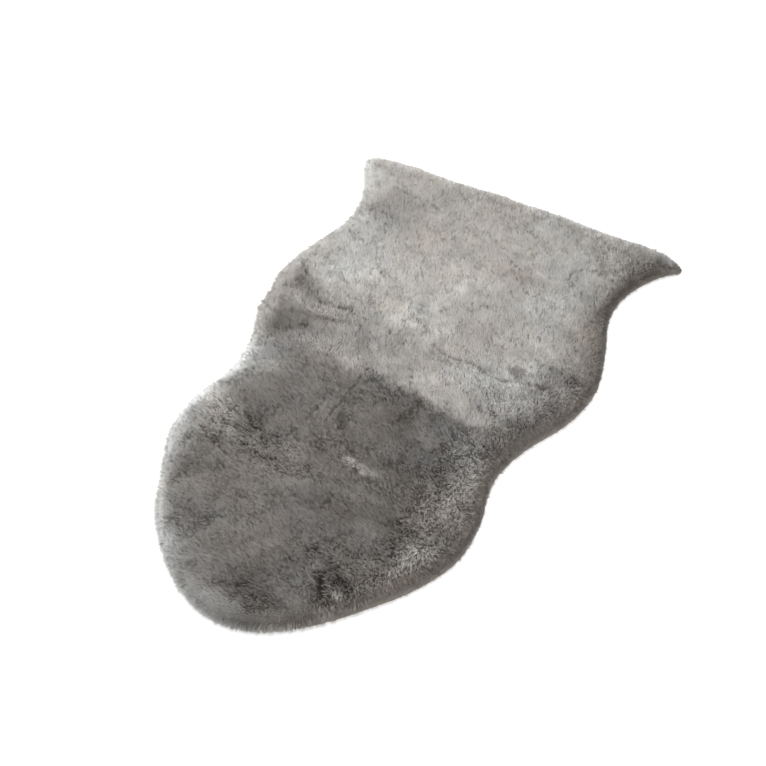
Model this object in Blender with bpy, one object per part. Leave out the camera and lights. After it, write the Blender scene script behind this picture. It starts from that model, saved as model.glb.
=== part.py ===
"""Sheepskin rug: one dressed skin with its wool shorn short, lying flat.

Units are metres and +Z is up. The underside lies on Z = 0. The long way of the
skin runs along Y, from the round neck end (-Y) to the straight tail end (+Y),
and the origin is on the floor under the middle of the skin.

The hide and the wool that grows on it are one piece, so they are one solid: a
low slab with a flat underside, a rolled rim, a lumpy top with soft partings in
the wool, and short locks that stand out of the rim.
"""
import bpy
import bmesh
import numpy as np
from mathutils import Vector
from mathutils.geometry import delaunay_2d_cdt

# ---- driving dimensions ----
SKIN_LENGTH = 0.950         # from the tip of the neck to the tail edge, over the wool
WOOL_HEIGHT = 0.031         # from the floor to the top of the wool, hide included
RIM_STEP = 0.0106           # spacing of the points round the rim, and of the locks
TOP_STEP = 0.0150           # spacing of the points on the top
CURVE_POINTS = 24           # points worked out between two rows of a table
LOCK_SPREAD = 0.35          # share by which a lock's reach, lean and droop vary
LOCK_SEED = 7
SHARP_ANGLE = np.radians(70)    # the tips of the locks stay crisp, all else is smooth

WOOL_COLOUR = (0.36, 0.345, 0.325, 1.0)
WOOL_ROUGHNESS = 0.95

# Half widths of the skin on each side of its middle line, from neck to tail.
#   name,            along,  left,   right
SECTIONS = (
    ("neck tip",      0.004,  0.030,  0.031),
    ("neck curve",    0.020,  0.072,  0.069),
    ("neck side",     0.050,  0.117,  0.110),
    ("cheek",         0.100,  0.165,  0.153),
    ("lower neck",    0.160,  0.198,  0.196),
    ("neck lobe",     0.230,  0.235,  0.230),
    ("upper neck",    0.300,  0.237,  0.232),
    ("waist",         0.375,  0.224,  0.218),
    ("shoulder",      0.440,  0.233,  0.230),
    ("fore body",     0.510,  0.263,  0.260),
    ("body lobe",     0.600,  0.277,  0.278),
    ("hind body",     0.680,  0.265,  0.262),
    ("loin",          0.765,  0.247,  0.238),
    ("flank",         0.825,  0.254,  0.244),
    ("flare",         0.880,  0.278,  0.272),
    ("tail corner",   0.916,  0.297,  0.299),
)

# The almost straight tail edge, from the right corner to the left corner.
#   name,            across,  along
TAIL_EDGE = (
    ("right turn",    0.290,  0.933),
    ("right end",     0.262,  0.939),
    ("right half",    0.140,  0.945),
    ("middle",        0.000,  0.948),
    ("left half",    -0.140,  0.950),
    ("left end",     -0.262,  0.946),
    ("left turn",    -0.290,  0.938),
)

# The rolled rim from the floor up: how far each ring lies inside the reach of
# the locks, how high it is, and over how many steps sharp corners are eased.
#   name,            inset,   height,  easing
RIM_RINGS = (
    ("hide edge",     0.0115,  0.0000,  4),
    ("under roll",    0.0068,  0.0042,  2),
    ("full roll",     0.0060,  0.0165,  1),
    ("shoulder",      0.0112,  0.0240,  4),
    ("brow",          0.0205,  0.0288,  8),
)
LOCK_BAND = 1               # the band between under roll and full roll carries the locks

# One lock of wool, from its root on the rim outwards: how far it has come, as a
# share of its length, how wide it still is there, and how far it hangs down.
#   name,            reach,   width,   droop
LOCK_STAGES = (
    ("belly",         0.55,    0.84,    0.0004),
    ("tip",           1.00,    0.46,    0.0024),
)

# Broad swells of the wool: how high each one is, its wave length, the heading
# that it runs in, in degrees, how far its crests wander from side to side, as a
# share of the wave length, and over how many wave lengths they wander.
#   name,            swell,   length,  heading, wander,  over
SWELLS = (
    ("long roll",     0.0014,  0.310,   62,      0.20,    1.3),
    ("cross roll",    0.0012,  0.230,   151,     0.25,    1.1),
    ("hummock",       0.0012,  0.128,   12,      0.35,    1.6),
    ("lump",          0.0011,  0.094,   102,     0.40,    1.9),
    ("small lump",    0.0008,  0.069,   35,      0.45,    2.3),
    ("tuft",          0.0006,  0.055,   128,     0.45,    2.9),
)

# Partings where the wool opens along a fold of the skin: depth, half width, and
# the line that each one follows, as places across and along from the middle.
#   name,            depth,   spread,  line
PARTINGS = (
    ("left fold",     0.0055,  0.011,  ((-0.232, 0.076), (-0.190, 0.066), (-0.140, 0.063))),
    ("middle fold",   0.0060,  0.011,  ((0.040, 0.067), (0.100, 0.070), (0.158, 0.064))),
    ("right fold",    0.0060,  0.012,
     ((0.170, 0.084), (0.205, 0.071), (0.246, 0.110), (0.278, 0.121))),
    ("neck parting",  0.0050,  0.012,  ((-0.034, -0.026), (-0.041, -0.080), (-0.040, -0.140))),
    ("cheek fold",    0.0050,  0.012,
     ((-0.186, -0.230), (-0.136, -0.247), (-0.070, -0.236), (0.024, -0.206))),
    ("lip parting",   0.0060,  0.010,  ((0.092, -0.360), (0.112, -0.392))),
)
PARTING_STEP = 0.011        # spacing of the points along a parting
PARTING_SHOULDER = 0.0085   # from the bottom of a parting to its shoulder points
CLOSEST = 0.6               # closest two points of the top may lie, as a share of their spacing
MERGE_GAP = 1e-7            # points nearer than this count as one


def remove_everything():
    """Start from an empty scene."""
    for thing in list(bpy.data.objects):
        bpy.data.objects.remove(thing, do_unlink=True)


def wool_material():
    """Grey wool: rough and not metallic."""
    material = bpy.data.materials.new("wool")
    material.use_nodes = True
    shader = material.node_tree.nodes["Principled BSDF"]
    shader.inputs["Base Color"].default_value = WOOL_COLOUR
    shader.inputs["Roughness"].default_value = WOOL_ROUGHNESS
    shader.inputs["Metallic"].default_value = 0.0
    return material


def smooth_curve(points, per_span, closed):
    """Points on a centripetal Catmull-Rom curve through the given points."""
    points = np.asarray(points, float)
    if closed:
        padded = np.vstack([points[-1:], points, points[:2]])
    else:
        first = 2 * points[0] - points[1]
        last = 2 * points[-1] - points[-2]
        padded = np.vstack([first, points, last])
    curve = []
    for p0, p1, p2, p3 in zip(padded, padded[1:], padded[2:], padded[3:]):
        k1 = np.linalg.norm(p1 - p0) ** 0.5
        k2 = k1 + np.linalg.norm(p2 - p1) ** 0.5
        k3 = k2 + np.linalg.norm(p3 - p2) ** 0.5
        k = np.linspace(k1, k2, per_span, endpoint=False)[:, None]
        a1 = (k1 - k) / k1 * p0 + k / k1 * p1
        a2 = (k2 - k) / (k2 - k1) * p1 + (k - k1) / (k2 - k1) * p2
        a3 = (k3 - k) / (k3 - k2) * p2 + (k - k2) / (k3 - k2) * p3
        b1 = (k2 - k) / k2 * a1 + k / k2 * a2
        b2 = (k3 - k) / (k3 - k1) * a2 + (k - k1) / (k3 - k1) * a3
        curve.append((k2 - k) / (k2 - k1) * b1 + (k - k1) / (k2 - k1) * b2)
    curve = np.vstack(curve)
    return curve if closed else np.vstack([curve, points[-1:]])


def even_steps(curve, step, closed):
    """The same curve with its points evenly spaced, close to the step asked for."""
    path = np.vstack([curve, curve[:1]]) if closed else curve
    runs = np.hypot(*np.diff(path, axis=0).T)
    travelled = np.concatenate([[0.0], np.cumsum(runs)])
    count = max(2, int(round(travelled[-1] / step)))
    wanted = np.linspace(0.0, travelled[-1], count + 1)
    if closed:
        wanted = wanted[:-1]
    columns = [np.interp(wanted, travelled, path[:, k]) for k in range(2)]
    return np.stack(columns, axis=1)


def skin_outline():
    """The reach of the wool seen from above, anticlockwise, centred on its box."""
    right_side = [(right, along) for _, along, _, right in SECTIONS]
    tail = [(across, along) for _, across, along in TAIL_EDGE]
    left_side = [(-left, along) for _, along, left, _ in reversed(SECTIONS)]
    corners = [(0.0, 0.0)] + right_side + tail + left_side
    outline = even_steps(smooth_curve(corners, CURVE_POINTS, True), RIM_STEP, True)
    outline[:, 0] -= (outline[:, 0].min() + outline[:, 0].max()) / 2
    outline[:, 1] -= SKIN_LENGTH / 2
    return outline


def eased(outline, passes):
    """Ease sharp turns: each row moves to the mean of itself and its neighbours."""
    for _ in range(passes):
        before = np.roll(outline, 1, axis=0)
        after = np.roll(outline, -1, axis=0)
        outline = 0.25 * before + 0.5 * outline + 0.25 * after
    return outline


def outward(outline):
    """Unit vectors that point out of an anticlockwise outline, one for each point."""
    along = np.roll(outline, -1, axis=0) - np.roll(outline, 1, axis=0)
    along /= np.hypot(along[:, 0], along[:, 1])[:, None]
    return np.stack([along[:, 1], -along[:, 0]], axis=1)


def distance_to_line(points, line):
    """Shortest distance from each point to a line of short straight runs."""
    nearest = np.full(len(points), np.inf)
    for start, end in zip(line, line[1:]):
        run = end - start
        share = np.clip((points - start) @ run / (run @ run), 0.0, 1.0)
        foot = start + share[:, None] * run
        nearest = np.minimum(nearest, np.hypot(*(points - foot).T))
    return nearest


def parting_line(line):
    """A parting's smooth line, in short even runs."""
    return even_steps(smooth_curve(line, CURVE_POINTS, False), PARTING_STEP, False)


def fullness(points):
    """How full the wool stands at each point, as a share of its usual height."""
    change = np.zeros(len(points))
    for _, swell, length, heading, wander, over in SWELLS:
        ahead = np.array([np.cos(np.radians(heading)), np.sin(np.radians(heading))])
        beside = np.array([-ahead[1], ahead[0]])
        sway = wander * np.sin(2 * np.pi * (points @ beside) / (over * length))
        change += swell * np.sin(2 * np.pi * ((points @ ahead) / length + sway))
    for _, depth, spread, line in PARTINGS:
        away = distance_to_line(points, parting_line(line))
        change -= depth * np.exp(-(away / spread) ** 2)
    return 1.0 + change / WOOL_HEIGHT


def at_height(points, height):
    """Points on the skin at one height of its profile, raised by how full it is."""
    return np.column_stack([points, height * fullness(points)])


def rim_rings(outline):
    """The rings of the rolled rim, from the floor to the brow of the top."""
    rings = []
    for _, inset, height, easing in RIM_RINGS:
        ring = eased(outline, easing)
        ring = ring - inset * eased(outward(ring), easing)
        rings.append(at_height(ring, height))
    return rings


def far_apart(points, kept, gap):
    """The points that keep the gap to those already kept and to each other."""
    kept = list(kept)
    chosen = []
    for point in points:
        near = kept + chosen
        if not near or np.hypot(*(np.array(near) - point).T).min() >= gap:
            chosen.append(point)
    return chosen


def inside(points, border):
    """True for each point that lies inside a closed outline, by counting crossings."""
    x, y = points[:, 0], points[:, 1]
    crossings = np.zeros(len(points), int)
    for (x0, y0), (x1, y1) in zip(border, np.roll(border, -1, axis=0)):
        spans = (y0 > y) != (y1 > y)
        if y0 != y1:
            crossings += spans & (x < x0 + (y - y0) * (x1 - x0) / (y1 - y0))
    return crossings % 2 == 1


def top_points(border):
    """Points of the top: three rows along each parting, then an even grid."""
    chosen = []
    for _, _, _, line in PARTINGS:
        path = parting_line(line)
        along = np.gradient(path, axis=0)
        along /= np.hypot(along[:, 0], along[:, 1])[:, None]
        side = np.stack([along[:, 1], -along[:, 0]], axis=1) * PARTING_SHOULDER
        for row in (path, path + side, path - side):
            chosen += far_apart(row, chosen, CLOSEST * PARTING_SHOULDER)
    low = border.min(axis=0)
    high = border.max(axis=0)
    row_step = TOP_STEP * np.sqrt(3) / 2
    grid = []
    for row, along in enumerate(np.arange(low[1], high[1], row_step)):
        shift = TOP_STEP / 2 * (row % 2)
        grid += [(across, along) for across in np.arange(low[0] + shift, high[0], TOP_STEP)]
    chosen += far_apart(np.array(grid), chosen, CLOSEST * TOP_STEP)
    chosen = np.array(chosen)
    loop = np.vstack([border, border[:1]])
    clear = distance_to_line(chosen, loop) > CLOSEST * TOP_STEP
    return chosen[clear & inside(chosen, border)]


def slab_mesh(rings):
    """A closed mesh of the rings, a lumpy top and a flat underside."""
    count = len(rings[0])
    mesh = bmesh.new()
    loops = [[mesh.verts.new(point) for point in ring] for ring in rings]
    bands = []
    for low, high in zip(loops, loops[1:]):
        band = []
        for k in range(count):
            after = (k + 1) % count
            band.append(mesh.faces.new((low[k], low[after], high[after], high[k])))
        bands.append(band)
    mesh.faces.new(list(reversed(loops[0])))
    border = rings[-1][:, :2]
    middle = top_points(border)
    flat = [Vector(point) for point in np.vstack([border, middle])]
    edges = [(k, (k + 1) % count) for k in range(count)]
    filled = delaunay_2d_cdt(flat, edges, [], 0, MERGE_GAP, True)
    corners, _, triangles, sources, _, _ = filled
    verts = loops[-1] + [mesh.verts.new(point) for point in at_height(middle, WOOL_HEIGHT)]
    centres = [np.mean([corners[k] for k in triangle], axis=0) for triangle in triangles]
    for triangle, kept in zip(triangles, inside(np.array(centres), border)):
        if kept:
            mesh.faces.new([verts[sources[k][0]] for k in triangle])
    return mesh, bands


def draw_locks(mesh, band, ring):
    """Draw one four-sided lock out of each face of a rim band, out to the outline."""
    rule = np.random.default_rng(LOCK_SEED)
    length = RIM_RINGS[LOCK_BAND][1]
    for root, out in zip(band, outward(ring[:, :2])):
        longer, lean, hang = rule.uniform(-LOCK_SPREAD, LOCK_SPREAD, 3)
        middle = root.calc_center_median()
        rays = [corner.co - middle for corner in root.verts]
        away = Vector((out[0], out[1], 0.0)) * length * (1 + longer)
        sideways = Vector((-out[1], out[0], 0.0)) * length * lean
        for _, reach, width, droop in LOCK_STAGES:
            bmesh.ops.inset_individual(mesh, faces=[root], thickness=0.0, depth=0.0)
            centre = middle + (away + sideways) * reach - Vector((0.0, 0.0, droop * (1 + hang)))
            for corner, ray in zip(root.verts, rays):
                corner.co = centre + ray * width


def centre_on_box(mesh):
    """Slide the skin along the floor until its box is centred on the origin."""
    reach = np.array([corner.co[:2] for corner in mesh.verts])
    middle = (reach.min(axis=0) + reach.max(axis=0)) / 2
    bmesh.ops.translate(mesh, verts=mesh.verts, vec=(-middle[0], -middle[1], 0.0))


def sheepskin(material):
    """The whole skin as one object."""
    rings = rim_rings(skin_outline())
    mesh, bands = slab_mesh(rings)
    draw_locks(mesh, bands[LOCK_BAND], rings[LOCK_BAND])
    centre_on_box(mesh)
    bmesh.ops.recalc_face_normals(mesh, faces=mesh.faces)
    data = bpy.data.meshes.new("sheepskin")
    mesh.to_mesh(data)
    mesh.free()
    data.shade_smooth()
    data.set_sharp_from_angle(angle=SHARP_ANGLE)
    data.materials.append(material)
    skin = bpy.data.objects.new("sheepskin", data)
    bpy.context.scene.collection.objects.link(skin)
    return skin


def main():
    remove_everything()
    sheepskin(wool_material())


main()
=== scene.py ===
# %% [markdown]
# # A grey sheepskin rug
#
# This lesson dresses one real object: a shorn sheepskin that lies on the floor. The frame that it starts
# from is a plain lumpy slab of the right size. The slab stays as it is for collision, and the pieces made
# here stand for it: the hide underneath, a bed of dense wool on the hide, and many thousand tufts whose
# tips end where the slab ends.

# %% Load the frame
import bpy
import numpy as np
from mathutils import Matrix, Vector


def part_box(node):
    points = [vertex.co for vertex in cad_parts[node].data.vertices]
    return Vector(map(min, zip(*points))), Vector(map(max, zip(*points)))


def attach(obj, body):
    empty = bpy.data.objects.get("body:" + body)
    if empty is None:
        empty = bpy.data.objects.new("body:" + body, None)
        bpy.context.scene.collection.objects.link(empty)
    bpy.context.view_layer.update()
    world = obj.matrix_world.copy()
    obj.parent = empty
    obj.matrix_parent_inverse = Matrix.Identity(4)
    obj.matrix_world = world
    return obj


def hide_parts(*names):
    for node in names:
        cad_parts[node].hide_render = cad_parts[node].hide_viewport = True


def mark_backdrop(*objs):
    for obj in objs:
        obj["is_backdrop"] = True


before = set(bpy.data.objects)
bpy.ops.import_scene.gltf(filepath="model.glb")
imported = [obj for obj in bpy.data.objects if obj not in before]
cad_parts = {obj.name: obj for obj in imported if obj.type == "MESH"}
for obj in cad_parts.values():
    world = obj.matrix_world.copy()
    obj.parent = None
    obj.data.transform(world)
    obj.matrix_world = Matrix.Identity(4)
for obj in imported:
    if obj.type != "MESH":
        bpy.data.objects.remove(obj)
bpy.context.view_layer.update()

SKIN_LOW, SKIN_HIGH = (np.array(corner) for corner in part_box("sheepskin"))
print("skin, metres:", np.round(SKIN_HIGH - SKIN_LOW, 4))

# %% [markdown]
# ## The outline of the skin
#
# A skin is cut out flat, so its outline seen from above is its main shape: a round neck end, a narrow waist
# behind it, a wider body, and a straight tail edge with two flared corners. It could be one curve drawn by
# hand. A table of half widths is easier to read and to change, and one smooth curve through its rows gives
# the rest. The rows follow those of the slab. Most lie up to 6 mm further out, and the right end of the tail
# edge 9 mm, because this outline is the reach of the loose wool, and a few rows more shape the bays.

# %% Half widths along the skin, and the tail edge
SKIN_LENGTH = 0.950      # from the tip of the neck to the tail edge, over the wool
NECK_TIP = -0.002        # the loose wool hangs over a little here too

#   name,            along,    left,   right
SECTIONS = (
    ("neck tip",     0.002,   0.031,   0.030),
    ("neck curve",   0.018,   0.073,  0.0685),
    ("neck side",    0.049,   0.119,   0.111),
    ("cheek",        0.100,   0.170,   0.156),
    ("lower neck",   0.160,   0.203,   0.200),
    ("neck lobe",    0.230,   0.238,   0.232),
    ("upper neck",   0.300,   0.243,   0.233),
    ("throat",       0.335,  0.2365,  0.2245),
    ("waist",        0.375,   0.228,  0.2175),
    ("shoulder",     0.440,   0.236,   0.230),
    ("fore body",    0.510,   0.264,   0.262),
    ("ribs",         0.545,   0.269,   0.273),
    ("body lobe",    0.600,   0.279,   0.280),
    ("hind body",    0.680,   0.267,   0.263),
    ("haunch",       0.722,  0.2545,  0.2485),
    ("loin",         0.765,   0.246,   0.239),
    ("flank",        0.825,   0.254,   0.245),
    ("flare",        0.880,   0.280,   0.270),
    ("barb",         0.906,  0.2945,   0.288),
    ("tail corner", 0.9295,   0.300,   0.305),
)

#   name,            across,   along
TAIL_EDGE = (
    ("right turn",   0.2915,  0.9395),
    ("right end",     0.262,   0.948),
    ("right half",    0.165,  0.9465),
    ("right middle",  0.070,   0.954),
    ("middle",        0.018,   0.950),
    ("left middle",  -0.045,   0.953),
    ("left dip",     -0.118,   0.948),
    ("left half",    -0.170,   0.951),
    ("left end",     -0.262,   0.948),
    ("left turn",    -0.290,   0.940),
)

# %% A smooth curve through a few points, and even steps along it
CURVE_POINTS = 24        # points worked out between two given points


def blend(first, second, share):
    """first where the share is 0, and second where it is 1."""
    return first + (second - first) * share


def smooth_curve(points, closed):
    """Centripetal Catmull-Rom curve. Each of four neighbouring points has a knot, a square root of their
    distance after the one before, and the curve between the middle two is a blend of blends of all four."""
    points = np.asarray(points, float)
    if closed:
        ends = points[-1:], points[:2]
    else:
        ends = 2 * points[:1] - points[1:2], 2 * points[-1:] - points[-2:-1]
    p = np.vstack([ends[0], points, ends[1]])[:, None]
    gap = np.linalg.norm(np.diff(p, axis=0), axis=2, keepdims=True) ** 0.5
    knots = np.cumsum([np.zeros_like(gap[:-2]), gap[:-2], gap[1:-1], gap[2:]], axis=0)
    at = blend(knots[1], knots[2], np.linspace(0, 1, CURVE_POINTS, endpoint=False)[None, :, None])

    def between(first, last, start, end):
        """From start to end, as the curve goes from the first of those knots to the last."""
        width = knots[last] - knots[first]
        return (knots[last] - at) / width * start + (at - knots[first]) / width * end

    four = [p[k:len(p) - 3 + k] for k in range(4)]
    three = [between(k, k + 1, four[k], four[k + 1]) for k in range(3)]
    two = [between(k, k + 2, three[k], three[k + 1]) for k in range(2)]
    curve = between(1, 2, *two).reshape(-1, 2)
    return curve if closed else np.vstack([curve, points[-1:]])


def even_steps(curve, count, closed):
    """The same curve as count points that lie evenly along it."""
    path = np.vstack([curve, curve[:1]]) if closed else curve
    travelled = np.concatenate([[0.0], np.cumsum(np.hypot(*np.diff(path, axis=0).T))])
    wanted = np.linspace(0.0, travelled[-1], count + closed)[:count]
    return np.stack([np.interp(wanted, travelled, path[:, k]) for k in range(2)], axis=1)


# %% The outline
RIM_POINTS = 640         # points round it


def skin_outline():
    """The reach of the wool seen from above, anticlockwise from the tip of the neck."""
    right_side = [(right, along) for _, along, _, right in SECTIONS]
    tail = [(across, along) for _, across, along in TAIL_EDGE]
    left_side = [(-left, along) for _, along, left, _ in reversed(SECTIONS)]
    curve = smooth_curve([(0.0, NECK_TIP)] + right_side + tail + left_side, True)
    outline = even_steps(curve, RIM_POINTS, True)
    outline[:, 0] -= (outline[:, 0].min() + outline[:, 0].max()) / 2
    outline[:, 1] -= SKIN_LENGTH / 2
    return outline


OUTLINE = skin_outline()
OUTLINE_STEP = np.hypot(*(OUTLINE[1] - OUTLINE[0]))
print(f"outline: {RIM_POINTS} points, {OUTLINE_STEP * 1000:.1f} mm apart")

# %% [markdown]
# ## Maps of the skin
#
# Everything about the wool depends on where it grows: how far it is from the edge, how high it stands, which
# way it is brushed, how light it is. Each of these is worked out once, on an even plan of the skin with a
# point every 2 mm, and read from there at any place. This keeps every step a sum over whole arrays.

# %% The plan, and helpers that make and read its maps
PLAN_STEP = 0.002
PLAN_X = np.arange(-0.330, 0.3301, PLAN_STEP)
PLAN_Y = np.arange(-0.510, 0.5101, PLAN_STEP)
PLAN = np.stack(np.meshgrid(PLAN_X, PLAN_Y), axis=-1)


def mix_corners(values, cell, share):
    """The four values at the corners of each cell of a lattice, weighed by how far across the cell and how
    far along it a place lies."""
    column, row = np.moveaxis(cell, -1, 0)
    x, y = np.moveaxis(share, -1, 0).reshape(2, *row.shape, *[1] * (values.ndim - 2))
    low = values[row, column] * (1 - x) + values[row, column + 1] * x
    high = values[row + 1, column] * (1 - x) + values[row + 1, column + 1] * x
    return low * (1 - y) + high * y


def read_map(values, places):
    """The value at each place, from the four plan points round it."""
    at = (places - PLAN[0, 0]) / PLAN_STEP
    cell = np.clip(at.astype(int), 0, (len(PLAN_X) - 2, len(PLAN_Y) - 2))
    return mix_corners(values, cell, at - cell)


def soft_step(value, low, high):
    """0 below low, 1 above high, and between them 3x^2 - 2x^3."""
    x = np.clip((value - low) / (high - low), 0.0, 1.0)
    return x * x * (3 - 2 * x)


def cloud(size, seed, places=PLAN):
    """A soft random cloud from -1 to 1: random numbers on a coarse lattice, joined by the soft step."""
    across, along = ((PLAN[-1, -1] - PLAN[0, 0]) / size).astype(int) + 2
    lattice = np.random.default_rng(seed).uniform(-1, 1, (along, across))
    at = (places - PLAN[0, 0]) / size
    cell = at.astype(int)
    return mix_corners(lattice, cell, soft_step(at - cell, 0.0, 1.0))


def clouds(rows, places=PLAN):
    """The sum of several clouds, each a row of its weight, its size and its seed."""
    return sum(weight * cloud(size, seed, places) for weight, size, seed in rows)


def waver(size, seeds, places=PLAN):
    """A soft random step: one cloud across and one along."""
    return np.stack([cloud(size, seed, places) for seed in seeds], axis=-1)


def read_rows(table, at, column):
    """A column of a table of named rows, read between the rows by the number that follows the name."""
    return np.interp(at, [row[1] for row in table], [row[column] for row in table])


def unit(turn):
    """Unit vectors that many radians round from across the skin."""
    return np.stack([np.cos(turn), np.sin(turn)], axis=-1)


def square_to(way):
    """The same vectors turned a quarter to the left."""
    return np.stack([-way[..., 1], way[..., 0]], axis=-1)


# %% How far inside the outline each place lies, and which way is out
def from_line(places, line):
    """From the nearest point of a line of straight runs to each place: the step there, and its length."""
    step = np.zeros_like(places)
    nearest = np.full(places.shape[:-1], np.inf)
    for start, end in zip(line, line[1:]):
        run = end - start
        share = np.clip((places - start) @ run / (run @ run), 0.0, 1.0)
        gap = places - start - share[..., None] * run
        length = np.hypot(gap[..., 0], gap[..., 1])
        nearer = length < nearest
        nearest = np.where(nearer, length, nearest)
        step = np.where(nearer[..., None], gap, step)
    return step, nearest


def inside(places, border):
    """True where a line to the left crosses a closed border an odd number of times."""
    x, y = places[..., 0], places[..., 1]
    odd = np.zeros(x.shape, bool)
    for (x0, y0), (x1, y1) in zip(border, np.roll(border, -1, axis=0)):
        spans = (y0 > y) != (y1 > y)
        if y0 != y1:
            odd ^= spans & (x < x0 + (y - y0) * (x1 - x0) / (y1 - y0))
    return odd


EVERY = 3                # the distance needs only every third point of the outline
LOOP = np.vstack([OUTLINE[::EVERY], OUTLINE[:1]])
AWAY, GAP = from_line(PLAN, LOOP)
IS_SKIN = inside(PLAN, LOOP[:-1])
INSET = np.where(IS_SKIN, GAP, -GAP)
OUT = np.where(IS_SKIN[..., None], -1.0, 1.0) * AWAY / np.maximum(GAP, 1e-6)[..., None]
SKIN_AREA = IS_SKIN.sum() * PLAN_STEP ** 2
print(f"area inside the outline: {SKIN_AREA:.3f} square metres")

# %% How full the wool stands
WOOL_HEIGHT = 0.031      # from the floor to the top of the wool

# Swell is the height of a wave, and heading, in degrees, the way it runs.
#   name,           swell,  length,  heading,  wander,  over
SWELLS = (
    ("long roll",  0.0014,   0.310,       62,    0.20,   1.3),
    ("cross roll", 0.0012,   0.230,      151,    0.25,   1.1),
    ("hummock",    0.0012,   0.128,       12,    0.35,   1.6),
    ("lump",       0.0011,   0.094,      102,    0.40,   1.9),
    ("small lump", 0.0008,   0.069,       35,    0.45,   2.3),
    ("tuft",       0.0006,   0.055,      128,    0.45,   2.9),
)

#   name,            depth,   spread,  line
PARTINGS = (
    ("left fold",     0.0055,  0.011,  ((-0.232, 0.076), (-0.190, 0.066), (-0.140, 0.063))),
    ("middle fold",   0.0060,  0.011,  ((0.040, 0.067), (0.100, 0.070), (0.158, 0.064))),
    ("right fold",    0.0060,  0.012,
     ((0.170, 0.084), (0.205, 0.071), (0.246, 0.110), (0.278, 0.121))),
    ("neck parting",  0.0050,  0.012,  ((-0.034, -0.026), (-0.041, -0.080), (-0.040, -0.140))),
    ("cheek fold",    0.0050,  0.012,
     ((-0.186, -0.230), (-0.136, -0.247), (-0.070, -0.236), (0.024, -0.206))),
    ("lip parting",   0.0060,  0.010,  ((0.092, -0.360), (0.112, -0.392))),
)
PARTING_POINTS = 12      # points on the line of a parting or a crease


def parting_line(line):
    """A parting's smooth line, in short even runs."""
    return even_steps(smooth_curve(line, False), PARTING_POINTS, False)


def bell(gap, width):
    """1 where the gap is 0, and about a third where it is the width."""
    return np.exp(-(gap / width) ** 2)


def fullness(places):
    """1, plus waves whose crests wander from side to side by a share of the wave's length, once in so many
    lengths, less a soft trough along each parting."""
    change = np.zeros(places.shape[:-1])
    for _, swell, length, heading, wander, over in SWELLS:
        ahead = unit(np.radians(heading))
        sway = wander * np.sin(2 * np.pi * (places @ square_to(ahead)) / (over * length))
        change += swell * np.sin(2 * np.pi * ((places @ ahead) / length + sway))
    for _, depth, spread, line in PARTINGS:
        change -= depth * bell(from_line(places, parting_line(line))[1], spread)
    return 1.0 + change / WOOL_HEIGHT


# %% The thin corner, and how full the wool is everywhere
THIN_CORNER = (0.304, 0.446)     # the right tail corner, where the wool thins out to a wedge
THIN_REACH = 0.030       # how far from the corner it is thin
THIN_SHARE = 0.80        # how much of its height is gone at the corner


def thinness(places):
    """1, less a bell over the distance from the thin corner."""
    gap = np.hypot(*np.moveaxis(places - THIN_CORNER, -1, 0))
    return 1.0 - THIN_SHARE * bell(gap, THIN_REACH)


FULL = fullness(PLAN) * thinness(PLAN)
print(f"fullness: {FULL[IS_SKIN].min():.2f} to {FULL[IS_SKIN].max():.2f}")

# %% [markdown]
# ## The height of the tips and of the bed
#
# Seen from the side, shorn wool is a low pile with a rounded edge. The tips of the tufts follow the top of
# the slab. The bed lies a pile's depth below them: on the real skin it is where the wool is so dense that no
# light gets further in.

# %% Two sides of the rim
# On the right the wool's side was cut upright, so there the bed comes nearly out to the outline and stands
# steep. Everywhere else the wool rolls over loosely.
CUT_HEADING = 6          # degrees: the rim that faces this way has the upright side
CUT_EDGE = (0.45, 0.82)  # how squarely a rim faces that way where it begins to be upright, and where it is
SIDE_EASING = 8          # passes that soften the map of a side


def eased(values, passes, axes=(0,)):
    """Each value of a closed line, or of a map along both its axes, moved so many times to the mean of
    itself, counted twice, and its two neighbours."""
    for _ in range(passes):
        for axis in axes:
            values = 0.25 * np.roll(values, 1, axis) + 0.5 * values + 0.25 * np.roll(values, -1, axis)
    return values


def facing(heading, low, high):
    """1 where the rim faces that heading, and 0 where it faces another way."""
    return eased(soft_step(OUT @ unit(np.radians(heading)), low, high), SIDE_EASING, axes=(0, 1))


CUT_SIDE = facing(CUT_HEADING, *CUT_EDGE)

#   name,          inset,  loose tips,  loose bed,  cut tips,  cut bed
RIM_PROFILE = (
    ("full roll", 0.0060,      0.0165,     0.0060,    0.0225,   0.0200),
    ("bed edge",  0.0100,      0.0226,     0.0130,    0.0260,   0.0210),
    ("shoulder",  0.0150,      0.0262,     0.0180,    0.0284,   0.0218),
    ("brow",      0.0205,      0.0288,     0.0212,    0.0298,   0.0228),
    ("crown",     0.0340,      0.0310,     0.0238,    0.0310,   0.0238),
)


def height_map(loose, cut):
    """Two columns of the profile, by their places in a row, read at each place's inset, blended by side, and
    times the fullness."""
    return blend(read_rows(RIM_PROFILE, INSET, loose), read_rows(RIM_PROFILE, INSET, cut), CUT_SIDE) * FULL


BED_HEIGHT = height_map(3, 5)
print(f"bed: {BED_HEIGHT[IS_SKIN].min() * 1000:.0f} to {BED_HEIGHT[IS_SKIN].max() * 1000:.0f} mm")
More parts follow.
